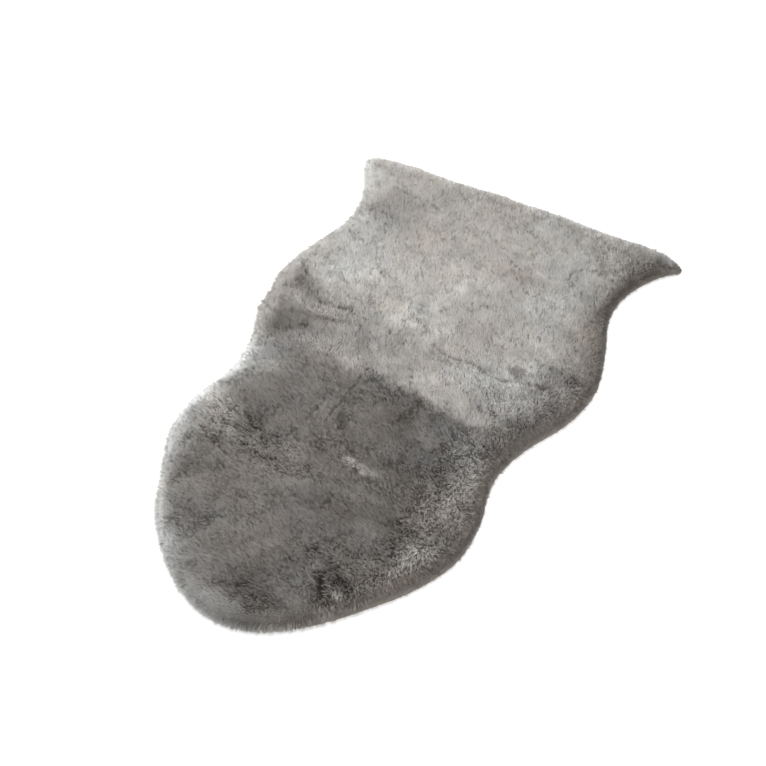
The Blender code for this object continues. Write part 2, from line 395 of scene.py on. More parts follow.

# %% [markdown]
# ## Brushing, light and shade
#
# Wool lies one way where a hand last brushed it. Where it leans away from the eye the sides of the fibres
# show and it looks pale, and where it leans the other way the eye looks into the pile and it looks dark. So
# the big light and dark areas of a sheepskin are brush strokes, with an edge where the brushing changes.
# Here this light and shade is painted into the wool's tone: a curve across the waist parts the pale tail
# half from the dark neck half, and a table of soft patches paints the smaller marks, partly light and shade
# and partly the wool's own tone.

# %% The edge between the two brushings
BRUSH_EDGE = (
    (-0.330, 0.004), (-0.220, 0.000), (-0.160, -0.008), (-0.110, -0.016), (-0.055, -0.024),
    (-0.030, -0.012), (0.010, -0.018), (0.045, -0.015), (0.080, -0.028), (0.105, -0.026),
    (0.135, -0.034), (0.165, -0.028), (0.200, -0.004), (0.240, 0.012), (0.330, 0.020),
)
BRUSH_WAVES = ((0.007, 0.034, 11), (0.004, 0.011, 10))     # clouds that make the edge ragged
BRUSH_BLEND = 0.015      # half the width over which one brushing passes into the other
LEFT_BLEND = 2.2         # how many times that wider the passage is on the far left

edge = smooth_curve(BRUSH_EDGE, False)
edge_at = np.interp(PLAN[..., 0], edge[:, 0], edge[:, 1]) + clouds(BRUSH_WAVES)
softer = 1.0 + 0.6 * cloud(0.045, 9) + LEFT_BLEND * soft_step(-PLAN[..., 0], 0.10, 0.19)
past_edge = (PLAN[..., 1] - edge_at) / (BRUSH_BLEND * softer)
TAILWARD = soft_step(past_edge, -1.0, 1.0)
print(f"brushed tailward: {TAILWARD[IS_SKIN].mean():.0%} of the skin")

# %% Soft patches of light and dark wool, partly painted light and shade
# Each is an ellipse that reaches so wide and so long from its middle, turned by some degrees. Tones run from
# 0, the darkest tuft, to 1, the palest, and tousle from 0, quite calm, to 1, quite tousled. The rows add up.
# The tones are partly the wool's own and partly painted light and shade: of the nap, the folds and the rim.
#   name,              across,  along,   wide,   long, turn,  tone, tousle
PATCHES = (
    ("saddle",         -0.100,  0.190,  0.140,  0.070,    0,  0.05,   0.00),
    ("left rump",      -0.120,  0.380,  0.028,  0.055,    0, -0.05,   0.00),
    ("right loin",      0.160,  0.225,  0.026,  0.026,    0,  0.02,   0.00),
    ("right hip",       0.218,  0.352,  0.015,  0.018,    0,  0.10,   0.00),
    ("band dip",        0.012,  0.045,  0.035,  0.035,    0, -0.05,   0.00),
    ("band rise",      -0.040,  0.100,  0.022,  0.016,    0,  0.05,   0.00),
    ("fold rise",       0.125,  0.065,  0.032,  0.040,    0,  0.06,   0.00),
    ("elbow",           0.214,  0.061,  0.028,  0.019,    0, -0.13,   0.00),
    ("rib",            -0.205,  0.090,  0.030,  0.040,    0, -0.05,   0.00),
    ("left saddle",    -0.175,  0.160,  0.045,  0.034,    0,  0.07,   0.00),
    ("middle saddle",  -0.015,  0.125,  0.055,  0.034,    0,  0.06,   0.00),
    ("high saddle",    -0.005,  0.240,  0.035,  0.030,    0,  0.01,   0.00),
    ("right rump",      0.120,  0.345,  0.040,  0.050,    0,  0.04,   0.00),
    ("right saddle",    0.165,  0.140,  0.050,  0.045,    0,  0.08,   0.00),
    ("left hip",       -0.185,  0.345,  0.055,  0.042,   20, -0.14,   0.00),
    ("left hip low",   -0.165,  0.290,  0.040,  0.018,    0, -0.04,   0.00),
    ("rump spot",       0.075,  0.285,  0.040,  0.018,    0, -0.08,   0.00),
    ("mid rump",        0.000,  0.262,  0.062,  0.024,    0,  0.05,   0.00),
    ("right mid rump",  0.140,  0.248,  0.036,  0.032,    0,  0.07,   0.00),
    ("high tail",       0.080,  0.420,  0.030,  0.024,    0,  0.05,   0.00),
    ("left hip foot",  -0.200,  0.300,  0.022,  0.020,    0,  0.08,   0.00),
    ("flick head",      0.028, -0.180,  0.014,  0.009,    0,  0.08,   0.30),
    ("chin rim",        0.082, -0.458,  0.038,  0.016,    0,  0.13,   0.30),
    ("cheek rim low",  -0.205, -0.262,  0.020,  0.018,    0,  0.10,   0.00),
    ("cheek edge",     -0.185, -0.305,  0.028,  0.022,    0, -0.18,   0.00),
    ("cheek edge low", -0.160, -0.342,  0.022,  0.020,    0, -0.08,   0.00),
    ("chin far left",  -0.085, -0.425,  0.026,  0.017,    0, -0.09,   0.00),
    ("cheek light",    -0.160, -0.221,  0.020,  0.013,    0,  0.18,   0.10),
    ("core light",      0.070, -0.145,  0.028,  0.022,    0,  0.07,   0.00),
    ("lobe pale mid",   0.172, -0.196,  0.030,  0.026,    0,  0.09,   0.10),
    ("lip side",        0.163, -0.345,  0.020,  0.022,    0,  0.17,   0.00),
    ("core side",       0.160, -0.080,  0.020,  0.030,    0,  0.09,   0.00),
    ("core low",        0.100, -0.238,  0.036,  0.026,    0, -0.08,   0.00),
    ("waist foot",     -0.150, -0.125,  0.044,  0.055,    0, -0.08,   0.00),
    ("spine light",    -0.045, -0.120,  0.020,  0.030,    0,  0.07,   0.00),
    ("right rump side", 0.200,  0.262,  0.020,  0.026,    0, -0.09,   0.00),
    ("right rump top",  0.205,  0.385,  0.020,  0.022,    0, -0.09,   0.00),
    ("fold calm",       0.118,  0.073,  0.065,  0.012,    0,  0.00,  -0.35),
    ("waist side",     -0.165, -0.020,  0.040,  0.016,    0, -0.05,   0.00),
    ("neck edge",       0.150, -0.215,  0.020,  0.030,    0,  0.06,   0.00),
    ("lip cleft",       0.099, -0.373,  0.015, 0.0045,  -48, -0.34,   0.10),
    ("corner top",      0.277,  0.443,  0.020,  0.016,  -20, -0.16,   0.00),
    ("chin far low",   -0.140, -0.392,  0.050,  0.020,   40, -0.07,   0.00),
    ("throat middle",   0.000, -0.140,  0.020,  0.018,    0, -0.07,   0.00),
    ("neck spine",      0.000, -0.260,  0.020,  0.018,    0, -0.07,   0.00),
    ("body spine",      0.000,  0.220,  0.020,  0.018,    0,  0.07,   0.00),
    ("flank light",     0.232,  0.310,  0.014,  0.050,    0,  0.10,   0.00),
    ("neck edge low",   0.195, -0.222,  0.018,  0.016,    0, -0.08,   0.00),
    ("tail shade",      0.000,  0.430,  0.280,  0.030,    0, -0.06,   0.15),
    ("right flank",     0.245,  0.200,  0.045,  0.260,    0, -0.12,   0.30),
    ("corner dark",     0.268,  0.402,  0.040,  0.020,   48, -0.07,   0.20),
    ("fold band",      -0.120,  0.040,  0.110,  0.046,    0, -0.08,   0.15),
    ("pale band",       0.070,  0.070,  0.100,  0.055,    0,  0.04,   0.15),
    ("waist dark",     -0.188,  0.024,  0.046,  0.028,   20, -0.24,  -0.20),
    ("waist dark two", -0.140,  0.054,  0.024,  0.008,   10, -0.16,   0.10),
    ("waist dark low", -0.210, -0.005,  0.030,  0.022,    0, -0.10,  -0.20),
    ("waist bridge",   -0.190,  0.056,  0.045,  0.008,    0, -0.10,   0.00),
    ("rib shade",      -0.242,  0.062,  0.030,  0.050,    0, -0.09,   0.00),
    ("waist ridge",    -0.150,  0.071,  0.036,  0.007,   -4,  0.07,   0.40),
    ("crease shade",   -0.172,  0.087,  0.016,  0.006,    0, -0.14,   0.20),
    ("crease shade two",-0.132,  0.089,  0.014,  0.006,    0, -0.14,   0.20),
    ("rib dark",       -0.210,  0.104,  0.026,  0.015,  -20, -0.22,   0.10),
    ("rib streak",     -0.238,  0.128,  0.012,  0.024,   30, -0.14,   0.40),
    ("hind shade",     -0.075,  0.045,  0.010,  0.024,   10, -0.08,   0.00),
    ("pale hem",       -0.085,  0.000,  0.075,  0.012,    0,  0.05,   0.30),
    ("left waist",     -0.185, -0.080,  0.036,  0.017,   10,  0.12,   0.10),
    ("left cheek",     -0.190, -0.186,  0.042,  0.021,  -12,  0.17,   0.70),
    ("cheek rim",      -0.200, -0.232,  0.026,  0.034,    0,  0.14,   0.10),
    ("cheek shadow",   -0.132, -0.176,  0.020,  0.009,  -25, -0.12,   0.30),
    ("cheek shadow two",-0.164, -0.237,  0.026,  0.010,  -22, -0.01,   0.40),
    ("cheek low",      -0.165, -0.281,  0.022,  0.016,  -30, -0.05,   0.00),
    ("cheek hollow",   -0.105, -0.198,  0.036,  0.014,  -12, -0.06,   0.30),
    ("neck middle",     0.040, -0.280,  0.065,  0.075,    0, -0.06,   0.00),
    ("chin low",        0.018, -0.430,  0.048,  0.015,    0, -0.16,   0.40),
    ("chin left",      -0.045, -0.418,  0.060,  0.024,   10, -0.10,   0.10),
    ("lobe low",        0.192, -0.305,  0.026,  0.040,    0,  0.20,   0.00),
    ("lip end",         0.117, -0.404,  0.014,  0.010,    0,  0.20,   0.10),
    ("core",            0.115, -0.140,  0.055,  0.055,    0, -0.07,   0.00),
    ("core top",        0.045, -0.088,  0.042,  0.045,    0, -0.12,   0.00),
    ("cheek dark",      0.145, -0.258,  0.024,  0.020,    0, -0.12,   0.20),
    ("cheek dark low",  0.150, -0.290,  0.030,  0.020,    0, -0.10,   0.20),
    ("lip dark",        0.112, -0.348,  0.026,  0.012,  -10, -0.17,   0.30),
    ("lip dark low",    0.104, -0.379,  0.014,  0.012,  -30, -0.12,   0.20),
    ("lip pale",        0.126, -0.371,  0.013,  0.005,  -52,  0.34,   0.10),
    ("chin dark",       0.024, -0.390,  0.040,  0.032,    0, -0.11,   0.25),
    ("cheek pale",     -0.080, -0.300,  0.100,  0.100,    0,  0.05,   0.00),
    ("lobe pale",       0.185, -0.140,  0.024,  0.042,    0,  0.18,   0.30),
    ("lobe pale low",   0.185, -0.255,  0.024,  0.022,    0,  0.13,   0.40),
    ("flick",           0.045, -0.181,  0.038,  0.007,  -12,  0.25,   0.20),
    ("second flick",    0.065, -0.225,  0.036,  0.006,    0,  0.08,   0.20),
    ("shoulder dark",   0.225,  0.124,  0.012,  0.015,   10, -0.10,   0.30),
    ("shoulder edge",   0.250,  0.112,  0.014,  0.014,    0, -0.12,   0.30),
    ("elbow dark",      0.234,  0.040,  0.015,  0.026,    0, -0.14,   0.30),
    ("right waist",     0.203,  0.000,  0.020,  0.015,   10, -0.15,   0.30),
    ("fold shade",      0.159,  0.094,  0.015,  0.010,  -15, -0.18,   0.10),
    ("cheek ruffle",   -0.100, -0.215,  0.090,  0.030,   -8,  0.00,   0.60),
    ("right ruffle",    0.195,  0.040,  0.080,  0.055,    0,  0.00,   0.45),
    ("neck ruffle",     0.185, -0.180,  0.065,  0.170,    0,  0.04,   0.50),
    ("lip ruffle",      0.120, -0.350,  0.065,  0.060,    0,  0.00,   0.45),
    ("tail ruffle",     0.230,  0.400,  0.070,  0.060,    0,  0.00,   0.35),
    ("tail fringe",     0.000,  0.455,  0.300,  0.020,    0,  0.00,   0.35),
)

# %% How a patch fades, and the maps of tone and tousle
PATCH_EDGE = 0.55        # from this share of its size outwards a patch fades
WARP = 0.012 * waver(0.045, (12, 14)) + 0.007 * waver(0.018, (13, 15)) + 0.004 * waver(0.008, (16, 17))
FULL_WARP = 0.030        # a patch this large or larger is warped fully, a smaller one by its share


def patch_share(across, along, wide, long, turn):
    """1 in the middle of a turned ellipse, fading to 0 at 1 + (1 - PATCH_EDGE) times its size. The plan is
    warped by clouds first, so no patch keeps an even outline."""
    ahead = unit(np.radians(turn))
    off = PLAN + WARP * min(1.0, np.sqrt(wide * long) / FULL_WARP) - (across, along)
    reach = np.hypot(off @ ahead / wide, off @ square_to(ahead) / long)
    return 1.0 - soft_step(reach, PATCH_EDGE, 2.0 - PATCH_EDGE)


# Painted light and shade of the nap: the neck half, whose pile leans towards the eye, is painted dark, and
# the tail half pale.
NAP_LIGHT_AND_SHADE_TONES = (0.49, 0.727)    # of the neck half and of the tail half
TOUSLED = 0.18           # how tousled the calm wool is

TONE = blend(*NAP_LIGHT_AND_SHADE_TONES, TAILWARD)
TOUSLE = np.full(TONE.shape, TOUSLED)
for _, *ellipse, tone, tousle in PATCHES:
    share = patch_share(*ellipse)
    TONE = TONE + tone * share
    TOUSLE = TOUSLE + tousle * share
print(f"{len(PATCHES)} patches of tone and tousle")

# %% Mottling, and the rim
MOTTLES = ((0.060, 0.022, 20), (0.028, 0.040, 21), (0.013, 0.055, 22))     # size, change of tone, seed
mottled = 0.25 + 0.25 * TAILWARD + 1.3 * (TOUSLE - TOUSLED)
for size, change, seed in MOTTLES:
    TONE = TONE + change * mottled * cloud(size, seed)

# Painted shade of the upright side, which faces away from the light, and partly the darker lower parts of
# the fibres that show there: its tone, and how far in it reaches
#   name,           along,  tone,  inset
CUT_SHADE_TONES = (
    ("chin",        -0.45,  0.53,  0.026),
    ("waist",       -0.10,  0.52,  0.026),
    ("shoulder",     0.10,  0.54,  0.034),
    ("loin",         0.22,  0.50,  0.042),
    ("flank",        0.34,  0.37,  0.018),
    ("tail corner",  0.44,  0.44,  0.026),
)
cut_shade_tone, cut_reach = (read_rows(CUT_SHADE_TONES, PLAN[..., 1], k) for k in (2, 3))
# Near the upright side the tone is painted towards that shade.
CUT_SHADE_SHARE = CUT_SIDE * (1.0 - soft_step(INSET / cut_reach, 0.3, 1.0))
TONE = blend(TONE, cut_shade_tone, CUT_SHADE_SHARE)

# Painted light: the loose rim that faces the light is painted towards white, as light shines through its
# thin wool. How much of the way to white it goes, and how far in, by the place along the skin
#   name,               along,  glow,  reach
GLOWS = (
    ("under the neck", -0.465,  0.70,  0.029),
    ("low neck",       -0.400,  1.15,  0.025),
    ("neck",           -0.330,  1.05,  0.019),
    ("upper neck",     -0.260,  1.00,  0.029),
    ("cheek",          -0.200,  1.10,  0.034),
    ("waist",          -0.060,  1.15,  0.043),
    ("shoulder",        0.000,  0.66,  0.022),
    ("rib",             0.050,  0.28,  0.012),
    ("hind rib",        0.130,  0.40,  0.014),
    ("loin",            0.200,  0.50,  0.013),
    ("hip",             0.340,  0.50,  0.011),
    ("tail corner",     0.435,  1.00,  0.018),
    ("tail edge",       0.460,  0.62,  0.016),
)
GLOW_HEADING = 176       # degrees: the rim that faces this way glows most
GLOW_EDGE = (-0.80, 0.15)    # how squarely a rim faces that way where the glow begins, and where it is full
GLOW_FALL = 1.25         # how steeply the glow falls inwards: 1 as an exponential, 2 as a bell

glow, reach = (read_rows(GLOWS, PLAN[..., 1], k) for k in (2, 3))
fall = np.exp(-(np.maximum(INSET, 0.0) / reach) ** GLOW_FALL)
GLOW = np.minimum(glow * facing(GLOW_HEADING, *GLOW_EDGE) * fall, 1.0)
TONE = np.clip(blend(TONE, 1.0, GLOW), 0.0, 1.0)
print(f"tone: {TONE[IS_SKIN].min():.2f} to {TONE[IS_SKIN].max():.2f}")

# %% Small lumps where the wool is tousled
LEAST_TOUSLE = 0.05      # no wool is quite calm
LUMPS = ((0.0008, 0.016, 25), (0.0009, 0.009, 26), (0.0009, 0.006, 27))     # height, size, seed
MOST_SLOPE = 0.80        # on the roll of the rim, light runs through the wool as if it sloped no more

TOUSLE = np.clip(TOUSLE, LEAST_TOUSLE, 1.0)
RELIEF = clouds(LUMPS) * (0.08 + 0.37 * TAILWARD + TOUSLE)
TIP_HEIGHT = height_map(2, 4) + RELIEF * soft_step(INSET, 0.004, 0.014)
slope_along, slope_across = np.gradient(TIP_HEIGHT, PLAN_STEP)
steep = np.maximum(np.hypot(slope_along, slope_across) / MOST_SLOPE, 1.0)
SURFACE_NORMAL = np.stack([-slope_across / steep, -slope_along / steep, np.ones_like(FULL)], axis=-1)
SURFACE_NORMAL /= np.linalg.norm(SURFACE_NORMAL, axis=-1, keepdims=True)
print(f"tips: {TIP_HEIGHT[IS_SKIN].min() * 1000:.0f} to {TIP_HEIGHT[IS_SKIN].max() * 1000:.0f} mm")

# %% Which way the wool leans
# Neck half and tail half: the heading in degrees, and how far a tip lies from its root, in pile depths
BRUSHINGS = ((242, 0.46), (98, 0.20))
SWIRL = 0.45             # how far chance curls take a tip aside, in pile depths too
MOST_WANDER = 45         # most that the brushing strays, in degrees
WANDERS = ((0.6, 0.070, 31), (0.4, 0.026, 32))       # share of that, size, seed
OUTWARD_REACH = (0.028, 0.034)   # how near the edge the wool turns outwards, and how much more if tousled

wander = MOST_WANDER * clouds(WANDERS)
neck_nap, tail_nap = (lean * unit(np.radians(heading + wander)) for heading, lean in BRUSHINGS)
NAP = blend(neck_nap, tail_nap, TAILWARD[..., None])
swirl = waver(0.012, (33, 34)) + 0.7 * waver(0.006, (35, 36))
NAP = NAP + SWIRL * (0.15 + 0.25 * TAILWARD + 0.6 * TOUSLE)[..., None] * swirl
outward_reach = OUTWARD_REACH[0] + OUTWARD_REACH[1] * TOUSLE
turned_out = soft_step(1.0 - INSET / outward_reach, 0.0, 0.8)[..., None]
# The wool leans out less where it was cut upright, and where it was brushed down towards the neck's tip.
outward_lean = 0.75 + 0.30 * TOUSLE - 0.55 * CUT_SIDE - 0.35 * soft_step(-OUT[..., 1], 0.3, 0.9)
NAP = NAP * (1 - turned_out) + OUT * outward_lean[..., None] * turned_out
print(f"lean: up to {np.linalg.norm(NAP[IS_SKIN], axis=-1).max():.2f} of the pile's depth")

# %% Warm and cool wool
#   name,           across,  along,   wide,   long, turn, warmth
WARM_PATCHES = (
    ("saddle",      -0.030,  0.240,  0.130,  0.160,    0,   0.14),
    ("neck spine",  -0.010, -0.200,  0.070,  0.180,    0,   0.10),
    ("left side",   -0.210,  0.280,  0.070,  0.180,    0,  -0.20),
    ("core",         0.110, -0.090,  0.070,  0.060,    0,  -0.25),
    ("neck top",    -0.050, -0.090,  0.110,  0.060,    0,   0.15),
    ("chin",         0.040, -0.420,  0.070,  0.050,    0,  -0.20),
    ("right ruffle", 0.190,  0.070,  0.080,  0.080,    0,  -0.25),
    ("cheek fold",  -0.120, -0.210,  0.080,  0.035,    0,  -0.25),
    ("lip",          0.115, -0.360,  0.060,  0.050,    0,  -0.20),
)
MEAN_WARMTH = 0.42       # warmth runs from 0, the coolest wool, to 1, the warmest
WARM_CLOUDS = ((0.26, 0.080, 41), (0.16, 0.025, 42))     # change, size, seed
# On the upright side the added warmth is the warm tint of its painted shade; where the rim is painted with
# light it is cooler.
RIM_WARMTH = (-0.5, 0.7)     # change where the loose rim glows, and on the upright side

WARMTH = MEAN_WARMTH + clouds(WARM_CLOUDS) + RIM_WARMTH[0] * GLOW
for _, *ellipse, warmth in WARM_PATCHES:
    WARMTH = WARMTH + warmth * patch_share(*ellipse)
WARMTH = np.clip(WARMTH + RIM_WARMTH[1] * CUT_SHADE_SHARE, 0.0, 1.0)
print(f"warmth: {WARMTH[IS_SKIN].min():.2f} to {WARMTH[IS_SKIN].max():.2f}")

# %% [markdown]
# ## The wool's colour
#
# Grey wool isn't one grey. Each fibre is darker and browner near the hide and pale at its tip, partly its
# own colour and partly painted shade deep in the pile. Some locks are cooler and some warmer, and the tone,
# with the light and shade painted into it, runs from nearly black to silver. One node group gives the colour
# from three numbers: the tone, how far along the fibre a point is, and how warm the lock is. Both the bed
# and the tufts use it, each with its own numbers.

# %% Helpers for nodes
def feed(tree, node, given):
    """Each named input of the node is linked, if a socket is given for it, or else set to the value."""
    for name, source in given.items():
        if isinstance(source, bpy.types.NodeSocket):
            tree.links.new(source, node.inputs[name])
        else:
            node.inputs[name].default_value = source


def new_node(tree, kind, given=None, **settings):
    """A node of that kind with its settings, and its inputs fed."""
    node = tree.nodes.new(kind)
    for name, value in settings.items():
        setattr(node, name, value)
    feed(tree, node, given or {})
    return node


def tint_mix(tree, blend_type, factor, first, second):
    """The colour that a Mix node makes of two."""
    given = {0: factor, 6: first, 7: second}
    return new_node(tree, "ShaderNodeMix", given, data_type="RGBA", blend_type=blend_type).outputs[2]


def calculated(tree, operation, first, second=0.0):
    """The value that a Math node makes of two."""
    return new_node(tree, "ShaderNodeMath", {0: first, 1: second}, operation=operation).outputs[0]


def ranged(tree, value, low, high, full=1.0, **settings):
    """From low, where the value is 0, to high, where it is full or more."""
    given = {"Value": value, "From Max": full, "To Min": low, "To Max": high}
    return new_node(tree, "ShaderNodeMapRange", given, **settings).outputs[0]


# %% The node group
#   tone, linear colour of the tip
TONE_STOPS = (
    (0.00, (0.030, 0.027, 0.024)),
    (0.30, (0.120, 0.112, 0.106)),
    (0.60, (0.300, 0.288, 0.279)),
    (0.80, (0.450, 0.440, 0.430)),
    (1.00, (0.800, 0.795, 0.785)),
)
# The root's tint: darker and browner, partly the fibre's own colour and partly painted shade deep in the
# pile.
ROOT_SHADE_TINT = (0.68, 0.64, 0.61, 1.0)
COOL_TINT = (0.985, 1.006, 1.004, 1.0)
WARM_TINT = (1.045, 0.992, 0.915, 1.0)
ROOT_REACH = 0.85        # how far along the fibre the root's tint reaches
WOOL_ROUGHNESS = (1.0, 0.82)     # at the root and at the tip


def wool_colour_group():
    """Colour = the tone's colour, times the root's tint towards the root, times a blend of the cool and the
    warm tint. Roughness falls from the root to the tip."""
    tree = bpy.data.node_groups.new("wool colour", "ShaderNodeTree")
    for name in ("Tone", "Along", "Warmth"):
        tree.interface.new_socket(name, in_out="INPUT", socket_type="NodeSocketFloat")
    tree.interface.new_socket("Colour", in_out="OUTPUT", socket_type="NodeSocketColor")
    tree.interface.new_socket("Roughness", in_out="OUTPUT", socket_type="NodeSocketFloat")
    given = new_node(tree, "NodeGroupInput")
    made = new_node(tree, "NodeGroupOutput")
    ramp = new_node(tree, "ShaderNodeValToRGB", {0: given.outputs["Tone"]})
    stops = ramp.color_ramp.elements
    stops[0].position, stops[1].position = TONE_STOPS[0][0], TONE_STOPS[-1][0]
    stops[0].color, stops[1].color = (*TONE_STOPS[0][1], 1.0), (*TONE_STOPS[-1][1], 1.0)
    for place, colour in TONE_STOPS[1:-1]:
        stops.new(place).color = (*colour, 1.0)
    rootward = ranged(tree, given.outputs["Along"], 1.0, 0.0, ROOT_REACH, interpolation_type="SMOOTHSTEP")
    shaded = tint_mix(tree, "MULTIPLY", rootward, ramp.outputs[0], ROOT_SHADE_TINT)
    cast = tint_mix(tree, "MIX", given.outputs["Warmth"], COOL_TINT, WARM_TINT)
    feed(tree, made, {
        "Colour": tint_mix(tree, "MULTIPLY", 1.0, shaded, cast),
        "Roughness": ranged(tree, given.outputs["Along"], *WOOL_ROUGHNESS),
    })
    return tree


WOOL_COLOUR = wool_colour_group()

# %% [markdown]
# ## The wool of the tufts
#
# A tuft is far too small for a picture of its own, so its UV map is a table instead of a layout: across it
# runs the tone, and up it run four strips, from cool wool to warm wool, each with the root at its foot and
# the tip at its head. Every tuft is a thin sliver somewhere on this table.

# %% The tufts' material
STRIPS = 4               # strips of the table, from cool to warm
STRIP_MARGIN = 0.06      # share of a strip left free at its foot and head
TABLE_MAP = "OFBake"     # name of the UV map
MATT_FIBRES = {"Specular IOR Level": 0.15, "Sheen Weight": 0.12, "Sheen Roughness": 0.5}


def principled(name, given):
    """A new material, its node tree and its Principled node, fed with what is given."""
    material = bpy.data.materials.new(name)
    material.use_nodes = True
    tree = material.node_tree
    shader = tree.nodes["Principled BSDF"]
    feed(tree, shader, given)
    return material, tree, shader


def wear_wool(tree, shader, tone, along, warmth):
    """The shader takes its colour and roughness from the node group, fed with those three."""
    given = {"Tone": tone, "Along": along, "Warmth": warmth}
    wool = new_node(tree, "ShaderNodeGroup", given, node_tree=WOOL_COLOUR)
    feed(tree, shader, {"Base Color": wool.outputs["Colour"], "Roughness": wool.outputs["Roughness"]})


def tuft_wool():
    """Tone = the table's x. Four times its y is the strip, which is the warmth, and the rest is the place
    along the fibre, less the margins."""
    material, tree, shader = principled("tuft wool", MATT_FIBRES)
    table = new_node(tree, "ShaderNodeUVMap", uv_map=TABLE_MAP)
    apart = new_node(tree, "ShaderNodeSeparateXYZ", {0: table.outputs[0]})
    up = calculated(tree, "MULTIPLY", apart.outputs["Y"], STRIPS)
    warmth = calculated(tree, "DIVIDE", calculated(tree, "FLOOR", up), STRIPS - 1)
    foot = calculated(tree, "SUBTRACT", calculated(tree, "FRACT", up), STRIP_MARGIN)
    along = calculated(tree, "DIVIDE", foot, 1 - 2 * STRIP_MARGIN)
    wear_wool(tree, shader, apart.outputs["X"], along, warmth)
    return material


TUFT_WOOL = tuft_wool()

# %% [markdown]
# ## The wool of the bed
#
# The bed shows only between tufts, as the dark floor of each gap, and that darkness is painted shade: its
# tone is darker than the tufts', the more so where the wool is tousled. It gets the same colour group with
# the fibre's lower part, broken up by a fine grain of round curls in the piece's own coordinates and painted
# darkest in the hollows between them.

# %% The bed's material
BED_GRAIN = 420          # curls to the metre
STRAND_GRAIN = 620       # strands to the metre, on the upright side
BED_ALONG = (0.35, 0.00)     # place along the fibre at the top of a curl and at its bottom
CURL_EDGE = 0.8          # how far from a curl's middle its bottom begins, in curls
BED_BUMP = {"Strength": 0.5, "Distance": 0.0012}


def pattern(tree, kind, vector, given, **settings):
    """A texture node that is laid out by that vector."""
    return new_node(tree, f"ShaderNodeTex{kind}", {"Vector": vector, **given}, **settings)


def mesh_value(tree, name, output="Fac"):
    """The attribute that the mesh holds under that name."""
    return new_node(tree, "ShaderNodeAttribute", attribute_name=name).outputs[output]


def bed_wool():
    """Tone and warmth are read from the mesh. A Voronoi pattern gives the curls on top, and noise on the
    strand coordinates, which run round the rim and only slowly up it, gives the strands of the wall."""
    material, tree, shader = principled("bed wool", MATT_FIBRES)
    place = new_node(tree, "ShaderNodeTexCoord").outputs["Object"]
    curls = pattern(tree, "Voronoi", place, {"Scale": BED_GRAIN}, feature="F1")
    strand_look = {"Scale": STRAND_GRAIN, "Detail": 2.0}
    strands = pattern(tree, "Noise", mesh_value(tree, "strand", "Vector"), strand_look)
    rise = ranged(tree, curls.outputs["Distance"], *BED_ALONG, CURL_EDGE)
    given = {0: mesh_value(tree, "wall"), 2: rise, 3: strands.outputs["Fac"]}
    along = new_node(tree, "ShaderNodeMix", given, data_type="FLOAT").outputs[0]
    wear_wool(tree, shader, mesh_value(tree, "tone"), along, mesh_value(tree, "warmth"))
    bump = new_node(tree, "ShaderNodeBump", {"Height": along, **BED_BUMP})
    feed(tree, shader, {"Normal": bump.outputs[0]})
    return material


BED_WOOL = bed_wool()

# %% [markdown]
# ## The hide
#
# Under the wool lies the skin itself, about 2 mm thick, napped on its flesh side to a pale suede. It ends
# about a finger's width inside the tips of the wool. It could be cut from a plane, but a grid of lines that
# run from the edge to a spine in the middle follows the outline exactly and stays even.

# %% Lines from the edge to the spine
SPINE_ENDS = (-0.235, 0.330)     # along the skin, where the lines from the neck and from the tail end
SPREAD_OUT = 0.2         # share of a foot's place that goes by count, so that no two feet meet


def spine_feet():
    """For each outline point its foot on the spine. Point k and point -k share one, at a blend of their mean
    place along the skin and of their count from the neck, squeezed to the spine's length."""
    count = np.arange(RIM_POINTS)
    mirror = -count % RIM_POINTS
    along = (OUTLINE[:, 1] + OUTLINE[mirror, 1]) / 2
    by_place = (along - along.min()) / np.ptp(along)
    by_count = np.minimum(count, mirror) / (RIM_POINTS / 2)
    share = blend(by_place, by_count, SPREAD_OUT)
    return np.stack([np.zeros(RIM_POINTS), SPINE_ENDS[0] + share * np.ptp(SPINE_ENDS)], axis=1)


FEET = spine_feet()


def outward(line):
    """Unit vectors that point out of an anticlockwise closed line."""
    along = np.roll(line, -1, axis=0) - np.roll(line, 1, axis=0)
    along /= np.hypot(*along.T)[:, None]
    return np.stack([along[:, 1], -along[:, 0]], axis=1)


RIM_EASING = 6           # passes that ease the two tail corners before a ring is set in
EASED_OUTLINE = eased(OUTLINE, RIM_EASING)
RIM_WAY = eased(outward(EASED_OUTLINE), RIM_EASING)


def rim_ring(inset):
    """The outline, eased and set in by that much."""
    return EASED_OUTLINE - inset * RIM_WAY


# %% Helpers for grids
def grid_faces(rows, columns):
    """Quads between the rows of a grid whose columns close into a loop."""
    row, column = np.meshgrid(np.arange(rows - 1), np.arange(columns), indexing="ij")
    here = row * columns + column
    after = row * columns + (column + 1) % columns
    return np.stack([here, after, after + columns, here + columns], axis=-1).reshape(-1, 4)


def join_at_spine(faces, columns, row):
    """In that row of a grid, point -k gives way to point k, so that the two sides meet."""
    column = faces - row * columns
    beyond = (column > columns // 2) & (column < columns)
    return np.where(beyond, row * columns + columns - column, faces)


def put(name, data):
    """A new object at the origin that holds the data."""
    piece = bpy.data.objects.new(name, data)
    bpy.context.scene.collection.objects.link(piece)
    return piece


def put_mesh(name, points, faces, material):
    """A smooth mesh of those points and faces."""
    data = bpy.data.meshes.new(name)
    data.from_pydata(points, [], faces)
    data.validate()
    data.shade_smooth()
    data.materials.append(material)
    print(f"{name}: {len(data.vertices)} points, {len(data.polygons)} faces")
    return put(name, data)


# %% The hide's material
HIDE_COLOUR = (0.43, 0.36, 0.28, 1.0)
HIDE_DARK = (0.30, 0.24, 0.18, 1.0)
HIDE_CLOUDS = 14         # blotches to the metre
NAP_GRAIN = 900          # nap marks to the metre
HIDE_BUMP = {"Strength": 0.35, "Distance": 0.0004}
HIDE_ROUGHNESS = (0.80, 0.98)


